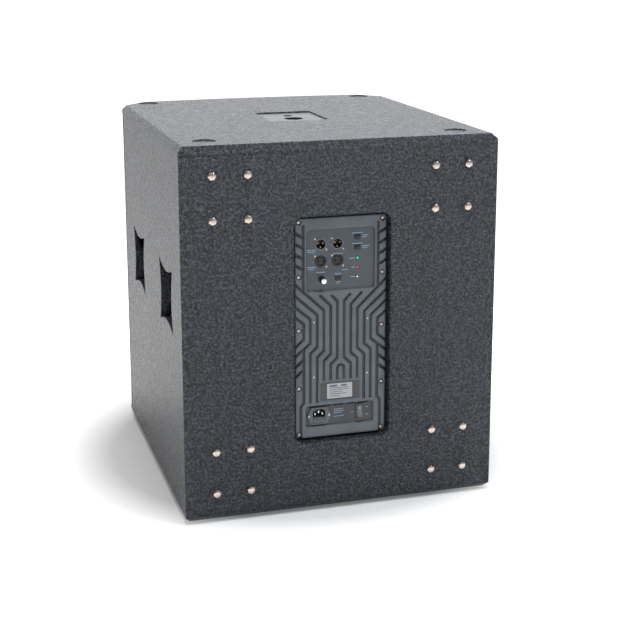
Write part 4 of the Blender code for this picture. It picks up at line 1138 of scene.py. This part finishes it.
def level_control():
    place = on_panel(*KNOB_AT, FLOOR_OUT)
    top = 0.0160
    steps = 72
    flutes = 18
    profile = [(0.0046, top - 0.0012), (0.0052, top - 0.0015), (0.0054, top - 0.0024)]
    profile += [(0.0056, 0.0052), (0.0058, 0.0044), (0.0063, 0.0040), (0.0064, 0.0034)]
    profile += [(0.0064, 0.0025), (0.0062, 0.0023), (0.0030, 0.0023), (0.0030, 0.0)]
    fluted = range(1, 5)
    rows = []
    for i in range(steps):
        angle = 2 * math.pi * i / steps
        flute = 0.00025 * (math.cos(flutes * angle) - 1)
        cut = [(r + flute if n in fluted else r, h) for n, (r, h) in enumerate(profile)]
        rows += spokes(cut, [angle])
    bm = bmesh.new()
    rings = skin(bm, rows, closed=True)
    bm.faces.new([ring[0] for ring in rings])
    bm.faces.new([ring[-1] for ring in rings])
    bmesh.ops.recalc_face_normals(bm, faces=bm.faces)
    piece("level_knob_grip", mesh_of(bm, "knob"), "gloss_plastic", place, "level_knob", ("level_knob",), 45)
    cap = [(0.0, top), (0.0036, top - 0.0001), (0.0046, top - 0.0004), (0.0049, top - 0.0009)]
    cap += [(0.0049, 0.0140), (0.0, 0.0140)]
    piece("level_knob_cap", lathe(cap, 48), "silver_cap", place, "level_knob")
    mark = rounded_box((-0.0003, 0.0020, top - 0.0006), (0.0003, 0.0044, top - 0.00002), 0.0001, 1)
    piece("level_knob_mark", mark, "label_ink", place, "level_knob")
    nut = prism([circle(0.0058, sides=6), circle(0.0036)], 0.0, 0.0016, 0.0003)
    piece("level_nut", nut, "zinc_steel", place)


def buttons():
    for node, (right, down) in BUTTONS.items():
        place = on_panel(right, down, FLOOR_OUT)
        outer = rectangle(0.0128, 0.0098, 0, 0, 0.0012)
        inner = rectangle(0.0102, 0.0072, 0, 0, 0.0009)
        sleeve = prism([outer, inner], -0.0070, 0.0003, 0.0002, 1)
        floor = prism([outer, rectangle(0.0094, 0.0064, 0, 0, 0.0008)], -0.0072, -0.0068)
        piece(node + "_sleeve", merged([sleeve, floor], node), "gloss_plastic", place)
        cap = rounded_box((-0.0046, -0.0031, -0.0200), (0.0046, 0.0031, 0.0025), 0.0007, 3)
        ridges = [
            rounded_box((x - 0.0004, -0.0022, 0.0020), (x + 0.0004, 0.0022, 0.0028), 0.00025)
            for x in (-0.0018, 0.0, 0.0018)
        ]
        piece(node + "_cap", merged([cap, *ridges], node), "button_plastic", place, node, (node,))


def leds():
    finish = {"power_led": "green_lens", "limit_led": "red_lens", "signal_led": "white_lens"}
    dome = [(0.0, 0.0012), (0.0007, 0.0011), (0.0012, 0.0007), (0.0016, 0.0)]
    dome += [(0.0016, -0.0200), (0.0, -0.0200)]
    ring = [(0.0017, -0.0010), (0.0017, 0.0003), (0.0020, 0.0005), (0.0025, 0.0004)]
    ring += [(0.0027, 0.0), (0.0027, -0.0002), (0.0017, -0.0010)]
    for node, spot in LEDS.items():
        place = on_panel(*spot, FLOOR_OUT)
        piece(node + "_lens", lathe(dome, 28), finish[node], place, "cabinet", (node,))
        piece(node + "_bezel", lathe(ring, 28), "black_plastic", place)


def label():
    low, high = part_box("label_plate")
    width = high.x - low.x
    height = high.z - low.z
    middle = Matrix.Translation(((low.x + high.x) / 2, low.y, (low.z + high.z) / 2)) @ OUTWARDS
    thick = high.y - low.y
    film = prism([rectangle(width, height, 0, 0, 0.0015)], 0, thick - 0.00008, 0.0001, 1)
    piece("label_film", film, "label_film", middle, "cabinet", ("label_plate",))
    bars = []
    for row, lengths in enumerate(((0.30, 0.22), (0.74,), (0.74,), (0.52,), (0.66,), (0.40,))):
        y = height * 0.34 - row * height * 0.135
        start = -0.40
        for length in lengths:
            bars.append(((start * width, y, length * width), 0.0011 if row else 0.0030))
            start += length + 0.16
    parts = []
    for (x, y, length), tall in bars:
        outline = rectangle(length, tall, x + length / 2, y, tall * 0.2, 2)
        parts.append(prism([outline], thick - 0.0001, thick))
    piece("label_marks", merged(parts, "label_marks"), "label_ink", middle)


def inlet():
    place = on_panel(*INLET_AT, FLOOR_OUT + 0.0003)
    thick = 0.0022
    flange = [(-0.0224, -0.003), (-0.0224, 0.003), (-0.0150, 0.0168), (0.0150, 0.0168)]
    flange = filleted(flange + [(-x, -y) for x, y in flange], 0.002, True)
    socket = [(-0.0120, -0.0035), (0.0120, -0.0035), (0.0120, 0.0085)]
    socket += [(0.0075, 0.0125), (-0.0075, 0.0125), (-0.0120, 0.0085)]
    socket = filleted(socket, 0.0012, True)
    drawer = rectangle(0.0236, 0.0078, 0, -0.0100, 0.0006, 2)
    plate = prism([flange, socket, drawer], 0, thick, 0.0006, 3)
    walls = prism([rectangle(0.0262, 0.0284, 0, -0.0004, 0.001), socket, drawer], -0.0220, 0.0002)
    back = prism([rectangle(0.0262, 0.0284, 0, -0.0004, 0.001), drawer], -0.0235, -0.0180)
    mesh = merged([plate, walls, back], "inlet")
    piece("power_inlet_body", mesh, "inlet_plastic", place, "cabinet", ("power_inlet",))
    blade = rounded_box((-0.0011, -0.0022, -0.0200), (0.0011, 0.0022, -0.0012), 0.0005)
    spots = ((-0.0070, 0.0030), (0.0, 0.0068), (0.0070, 0.0030))
    blades = [(blade, Matrix.Translation((x, y, 0))) for x, y in spots]
    piece("power_inlet_blades", merged(blades, "blades"), "silver_cap", place)
    rounded_copy("fuse_drawer", 0.0005, "inlet_plastic", 2, "fuse_drawer")
    low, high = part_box("fuse_drawer")
    middle = (low + high) / 2
    near = (middle.x - 0.0035, high.y - 0.0010, middle.z - 0.0006)
    far = (middle.x + 0.0035, high.y, middle.z + 0.0006)
    tab = rounded_box(near, far, 0.0003)
    piece("fuse_drawer_tab", tab, "button_plastic", None, "fuse_drawer")


def switch():
    place = on_panel(*SWITCH_AT, FLOOR_OUT + 0.0003)
    outer = rectangle(0.0158, 0.0310, 0, 0, 0.0018)
    inner = rectangle(0.0110, 0.0244, 0, 0, 0.0008)
    bezel = prism([outer, inner], 0.0, 0.0018, 0.0006, 3)
    walls = prism([rectangle(0.0122, 0.0262, 0, 0, 0.0008), inner], -0.0165, 0.0002)
    back = prism([rectangle(0.0122, 0.0262, 0, 0, 0.0008)], -0.0180, -0.0160)
    mesh = merged([bezel, walls, back], "bezel")
    piece("power_switch_bezel", mesh, "bezel_plastic", place, "cabinet", ("power_switch_housing",))
    rounded_copy("power_rocker", 0.0004, "grey_plastic", 2, "power_rocker")
    pivot = Vector((-SWITCH_AT[0], PLATE_HIGH.y + FLOOR_OUT + 0.0021, PLATE_HIGH.z - SWITCH_AT[1]))
    tilt = Matrix.Translation(pivot) @ Matrix.Rotation(math.radians(9), 4, "X") @ OUTWARDS
    mark = rounded_box((-0.0003, 0.0045, 0.00042), (0.0003, 0.0085, 0.00100), 0.0001, 1)
    piece("power_rocker_mark", mark, "white_ink", tilt, "power_rocker")


def panel_marks():
    """Short plain bars and ticks where the panel is printed, and the ticks of the level dial."""
    floor = FLOOR_OUT + 0.00002
    bars = [(side, down, 0.0022, 0.0006) for side in (-0.0538, -0.0214) for down in (0.0508, 0.0828)]
    for start, end, down, tall in (
        # Beside and over the sockets.
        (-0.0650, -0.0560, 0.0612, 0.0016), (-0.0545, -0.0470, 0.0612, 0.0016),
        (-0.0640, -0.0490, 0.0648, 0.0012), (-0.0650, -0.0470, 0.0930, 0.0016),
        (-0.0620, -0.0500, 0.0965, 0.0012), (-0.0150, 0.0050, 0.0700, 0.0010),
        (0.0030, 0.0150, 0.1010, 0.0010),
        # Over the level knob, and over and under the polarity button.
        (-0.0460, -0.0287, 0.1032, 0.0016), (-0.0106, 0.0016, 0.1080, 0.0014),
        (-0.0090, 0.0010, 0.1225, 0.0012), (-0.0075, -0.0010, 0.1258, 0.0012),
        # Over and beside the other two buttons.
        (0.0215, 0.0430, 0.0335, 0.0014), (0.0425, 0.0540, 0.0382, 0.0013),
        (0.0425, 0.0505, 0.0418, 0.0013), (0.0225, 0.0425, 0.0533, 0.0014),
        (0.0415, 0.0560, 0.0585, 0.0013), (0.0415, 0.0520, 0.0622, 0.0013),
        # Beside the indicators.
        (0.0174, 0.0280, 0.0805, 0.0014), (0.0215, 0.0290, 0.0978, 0.0014),
        (0.0200, 0.0285, 0.1155, 0.0014),
        # Beside the inlet and the switch.
        (-0.0120, 0.0060, 0.3690, 0.0011), (-0.0120, 0.0090, 0.3725, 0.0011),
        (-0.0120, 0.0030, 0.3760, 0.0011), (-0.0120, 0.0080, 0.3830, 0.0011),
        (0.0500, 0.0560, 0.3700, 0.0013), (0.0500, 0.0560, 0.3850, 0.0013),
        (0.0220, 0.0270, 0.3775, 0.0013),
    ):
        bars.append(((start + end) / 2, down, end - start, tall))
    parts = []
    for right, down, width, tall in bars:
        bar = prism([rectangle(width, tall, 0, 0, tall * 0.3, 2)], -0.0001, 0.00003)
        parts.append((bar, Matrix.Translation((right, -down, floor))))
    for i in range(11):
        turn = Matrix.Rotation(math.radians(150 - 30 * i), 4, "Z")
        tick = prism([rectangle(0.0005, 0.0018, 0, 0.0098)], -0.0001, 0.00003)
        parts.append((tick, Matrix.Translation((KNOB_AT[0], -KNOB_AT[1], floor)) @ turn))
    piece("panel_marks", merged(parts, "panel_marks"), "panel_ink", PANEL)


# ---------------------------------------------------------------- inside


def boards():
    low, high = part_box("amp_board")
    parts = []
    for i in range(6):
        x = low.x + 0.020 + 0.0175 * (i % 3)
        z = low.z + 0.035 + 0.036 * (i // 3)
        can = [(0.0, 0.026), (0.0062, 0.026), (0.0075, 0.0252), (0.0078, 0.024)]
        can += [(0.0074, 0.0225), (0.0078, 0.021), (0.0078, 0.0), (0.0, 0.0)]
        parts.append((lathe(can, 32), Matrix.Translation((x, high.y, z)) @ OUTWARDS))
    piece("amp_capacitors", merged(parts, "capacitors"), "gloss_plastic")
    fin = rounded_box((0, 0, 0), (0.062, 0.0015, 0.020), 0.0003, 1)
    fins = [(fin, Matrix.Translation((0, 0.006 * i, 0))) for i in range(8)]
    fins.append(rounded_box((0, 0, 0), (0.062, 0.0435, 0.004), 0.0003, 1))
    spot = Matrix.Translation((high.x - 0.004, high.y + 0.0005, high.z - 0.065)) @ OUTWARDS
    piece("amp_heat_sink", merged(fins, "heat_sink"), "zinc_steel", spot)
    low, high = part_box("input_board")
    chips = []
    for i in range(4):
        x = low.x + 0.030 + 0.018 * i
        chip = rounded_box((-0.0035, -0.002, 0.0), (0.0035, 0.002, -0.0018), 0.0003)
        chips.append((chip, Matrix.Translation((x, low.y, low.z + 0.008)) @ OUTWARDS))
    piece("input_chips", merged(chips, "chips"), "black_plastic")


def sector(profile, first, last, steps, name):
    """Part of a turned profile between two angles, about Z."""
    bm = bmesh.new()
    skin(bm, spokes(profile, [first + (last - first) * i / steps for i in range(steps + 1)]))
    bmesh.ops.recalc_face_normals(bm, faces=bm.faces)
    return mesh_of(bm, name)


def flexing_ring(node, profile, finish):
    """A ring turned from a profile, made in equal sectors, each its own object in place of the hidden CAD
    node.
    """
    count = 16
    for i in range(count):
        first = 2 * math.pi * i / count
        last = 2 * math.pi * (i + 1) / count
        mesh = sector(profile, first, last, 8, node)
        mesh.materials.append(FINISHES[finish])
        mesh.transform(WOOFER)
        mesh.shade_smooth()
        obj = new_object(f"{node}_part_{i + 1}", mesh)
        if i == 0:
            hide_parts(node)
        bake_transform(obj)


def sheet_profile(points, thick):
    lower = [(r, h - thick) for r, h in reversed(points)]
    return points + lower + [points[0]]


def rippled(face, middle, pitch, depth, inner, outer):
    """A cone's profile with shallow ripples, one every pitch, between two radii."""
    points = []
    for (r, h), (next_r, next_h) in zip(face, face[1:]):
        for t in (0.0, 0.25, 0.5, 0.75):
            radius = r + (next_r - r) * t
            level = h + (next_h - h) * t
            away = (radius - middle) % pitch - pitch / 2
            ripple = depth * math.exp(-((away / (pitch / 10)) ** 2)) if inner < radius < outer else 0.0
            points.append((radius, level - ripple))
    return points + [face[-1]]


def woofer():
    roll = [(0.1842, 0.0082), (0.1885, 0.0082)]
    for a in np.linspace(0, math.pi, 13):
        roll.append((0.2015 - 0.0115 * math.cos(a), 0.0082 + 0.0110 * math.sin(a)))
    roll += [(0.2145, 0.0082), (0.2188, 0.0082)]
    flexing_ring("surround", sheet_profile(roll, 0.0012), "doped_cloth")
    waves = []
    for r in np.linspace(0.0520, 0.1168, 49):
        waves.append((r, -0.1155 + 0.0016 * math.cos((r - 0.0519) / 0.0651 * 8 * math.pi)))
    flexing_ring("spider", sheet_profile(waves, 0.0008), "spider_cloth")
    slope = [(0.0519, -0.0860), (0.0690, -0.0800), (0.1300, -0.0345), (0.1800, 0.0020), (0.1870, 0.0066)]
    face = filleted(slope, 0.02, False, 8)
    ribbed = rippled(face, 0.150, 0.011, 0.0005, 0.09, 0.17)
    cone = lathe(sheet_profile(ribbed, 0.0020), 96)
    piece("cone_body", cone, "cone_paper", WOOFER, "cone_assembly", ("cone",), 60)
    turns = np.linspace(0.0, math.pi / 2, 20)
    dome = [(0.0820 * math.sin(a), -0.0685 + 0.0220 * math.cos(a)) for a in turns]
    lower = [(r * 0.985, h - 0.0012) for r, h in reversed(dome)]
    cap = lathe(dome + lower, 72)
    piece("dust_cap_dome", cap, "cone_paper", WOOFER, "cone_assembly", ("dust_cap",), 60)
    rounded_copy("woofer_basket", 0.0006, "black_steel", 2)
    bolt = screw_head(0.0055, 0.0028)
    parts = []
    for i in range(8):
        angle = math.pi * (i + 0.5) / 4
        spot = Matrix.Translation((0.2255 * math.cos(angle), 0.2255 * math.sin(angle), 0.0100))
        parts.append((bolt, WOOFER @ spot @ Matrix.Rotation(angle, 4, "Z")))
    piece("woofer_bolts", merged(parts, "woofer_bolts"), "zinc_steel")
    rounded_copy("magnet", 0.0008, "ferrite")
    for node in ("magnet_top_plate", "magnet_yoke"):
        rounded_copy(node, 0.0008, "zinc_steel")


def carry_over():
    """Every CAD node that still shows gets its finish and softened edges."""
    for part in frame["record"]["subparts"]:
        obj = frame["nodes"][part["node"]]
        if obj.hide_render:
            continue
        obj.data.materials.clear()
        obj.data.materials.append(FINISHES[part["material_slot"]])
        soften = obj.modifiers.new("worn edges", "BEVEL")
        soften.width = 0.0003
        soften.segments = 2
        soften.limit_method = "ANGLE"
        soften.angle_limit = math.radians(40)


# ---------------------------------------------------------------- stage, light and camera


def stage():
    """A pale floor that glows more away from the object, so that it stays white to the horizon; the weaker
    glow near the object is a painted shadow round its base.
    """
    bm = bmesh.new()
    bmesh.ops.create_grid(bm, x_segments=1, y_segments=1, size=60.0)
    floor = new_object("floor", mesh_of(bm, "floor"), Matrix.Translation((0, 0, FLOOR_Z)))
    finish = Finish("pale_floor", (0.66, 0.66, 0.66), 0.9)
    finish.shader.inputs["Specular IOR Level"].default_value = 0.1
    finish.shader.inputs["Emission Color"].default_value = (1.0, 1.0, 1.0, 1.0)
    reach = finish.node("ShaderNodeVectorMath", operation="LENGTH")
    finish.link(finish.place, reach.inputs[0])
    # Glow rises from 0.14 to 0.92 between 0.38 and 0.56 m from the middle: the dim ring is a painted shadow
    # round the base.
    glow = finish.span(reach.outputs["Value"], 0.14, 0.92, 0.38, 0.56)
    finish.link(glow, finish.shader.inputs["Emission Strength"])
    floor.data.materials.append(finish.material)


def lamp(name, at, towards, size, power, colour=(1.0, 1.0, 1.0)):
    light = bpy.data.lights.new(name, "AREA")
    light.shape = "RECTANGLE"
    light.size, light.size_y = size
    light.energy = power
    light.color = colour
    obj = bpy.data.objects.new(name, light)
    bpy.context.scene.collection.objects.link(obj)
    obj.location = at
    obj.rotation_euler = (Vector(towards) - Vector(at)).to_track_quat("-Z", "Y").to_euler()


def lights():
    """A white backdrop, dim on the amplifier's side, high up and at +X; two small lamps and one overhead."""
    world = bpy.data.worlds.new("studio")
    bpy.context.scene.world = world
    world.use_nodes = True
    nodes = world.node_tree.nodes
    links = world.node_tree.links
    sky = nodes["Background"]
    sky.inputs["Color"].default_value = (0.97, 0.985, 1.0, 1.0)
    place = nodes.new("ShaderNodeTexCoord")
    split = nodes.new("ShaderNodeSeparateXYZ")
    links.new(place.outputs["Generated"], split.inputs["Vector"])
    behind = ramp(nodes, links, split.outputs["Y"], (-0.25, 0.30), (1.0, 0.16))
    above = ramp(nodes, links, split.outputs["Z"], (0.40, 0.90), (1.6, 0.30))
    beside = ramp(nodes, links, split.outputs["X"], (0.00, 0.50), (1.0, 0.10))
    shaped = nodes.new("ShaderNodeMath")
    shaped.operation = "MULTIPLY"
    links.new(behind, shaped.inputs[0])
    links.new(above, shaped.inputs[1])
    narrowed = nodes.new("ShaderNodeMath")
    narrowed.operation = "MULTIPLY"
    links.new(shaped.outputs["Value"], narrowed.inputs[0])
    links.new(beside, narrowed.inputs[1])
    path = nodes.new("ShaderNodeLightPath")
    seen = nodes.new("ShaderNodeMix")
    links.new(path.outputs["Is Camera Ray"], seen.inputs["Factor"])
    links.new(narrowed.outputs["Value"], seen.inputs["A"])
    seen.inputs["B"].default_value = 1.1
    links.new(seen.outputs["Result"], sky.inputs["Strength"])
    lamp("key", (2.2, 2.0, 3.0), (0, 0.3, 0.35), (0.7, 0.7), 10)
    lamp("softbox", (-2.2, 2.2, 3.0), (0, 0.3, 0.4), (0.7, 0.7), 30, (0.76, 0.87, 1.0))
    lamp("top", (0.0, 0.6, 3.2), (0, 0.1, 0.6), (1.8, 1.8), 95)


def ramp(nodes, links, value, start_end, low_high):
    made = nodes.new("ShaderNodeMapRange")
    made.interpolation_type = "SMOOTHSTEP"
    made.inputs["From Min"].default_value, made.inputs["From Max"].default_value = start_end
    made.inputs["To Min"].default_value, made.inputs["To Max"].default_value = low_high
    links.new(value, made.inputs["Value"])
    return made.outputs["Result"]


def camera():
    data = bpy.data.cameras.new("camera")
    data.sensor_width = 36.0
    data.lens = 76.5
    data.shift_y = -0.13
    obj = bpy.data.objects.new("camera", data)
    bpy.context.scene.collection.objects.link(obj)
    yaw = math.radians(16.78)
    pitch = math.radians(-12.49)
    look = Vector((-math.sin(yaw) * math.cos(pitch), -math.cos(yaw) * math.cos(pitch), math.sin(pitch)))
    obj.location = (0.734, 2.633, 1.056)
    obj.rotation_euler = look.to_track_quat("-Z", "Y").to_euler()
    data.clip_end = 200
    bpy.context.scene.camera = obj
    bpy.context.scene.view_settings.view_transform = "Standard"


def build():
    panels()
    joint_filler()
    handles()
    feet()
    pole_mount()
    caster_bolts()
    grille()
    amp_plate()
    panel_screws()
    xlr_sockets()
    level_control()
    buttons()
    leds()
    label()
    inlet()
    switch()
    panel_marks()
    boards()
    woofer()
    carry_over()
    stage()
    lights()
    camera()


build()
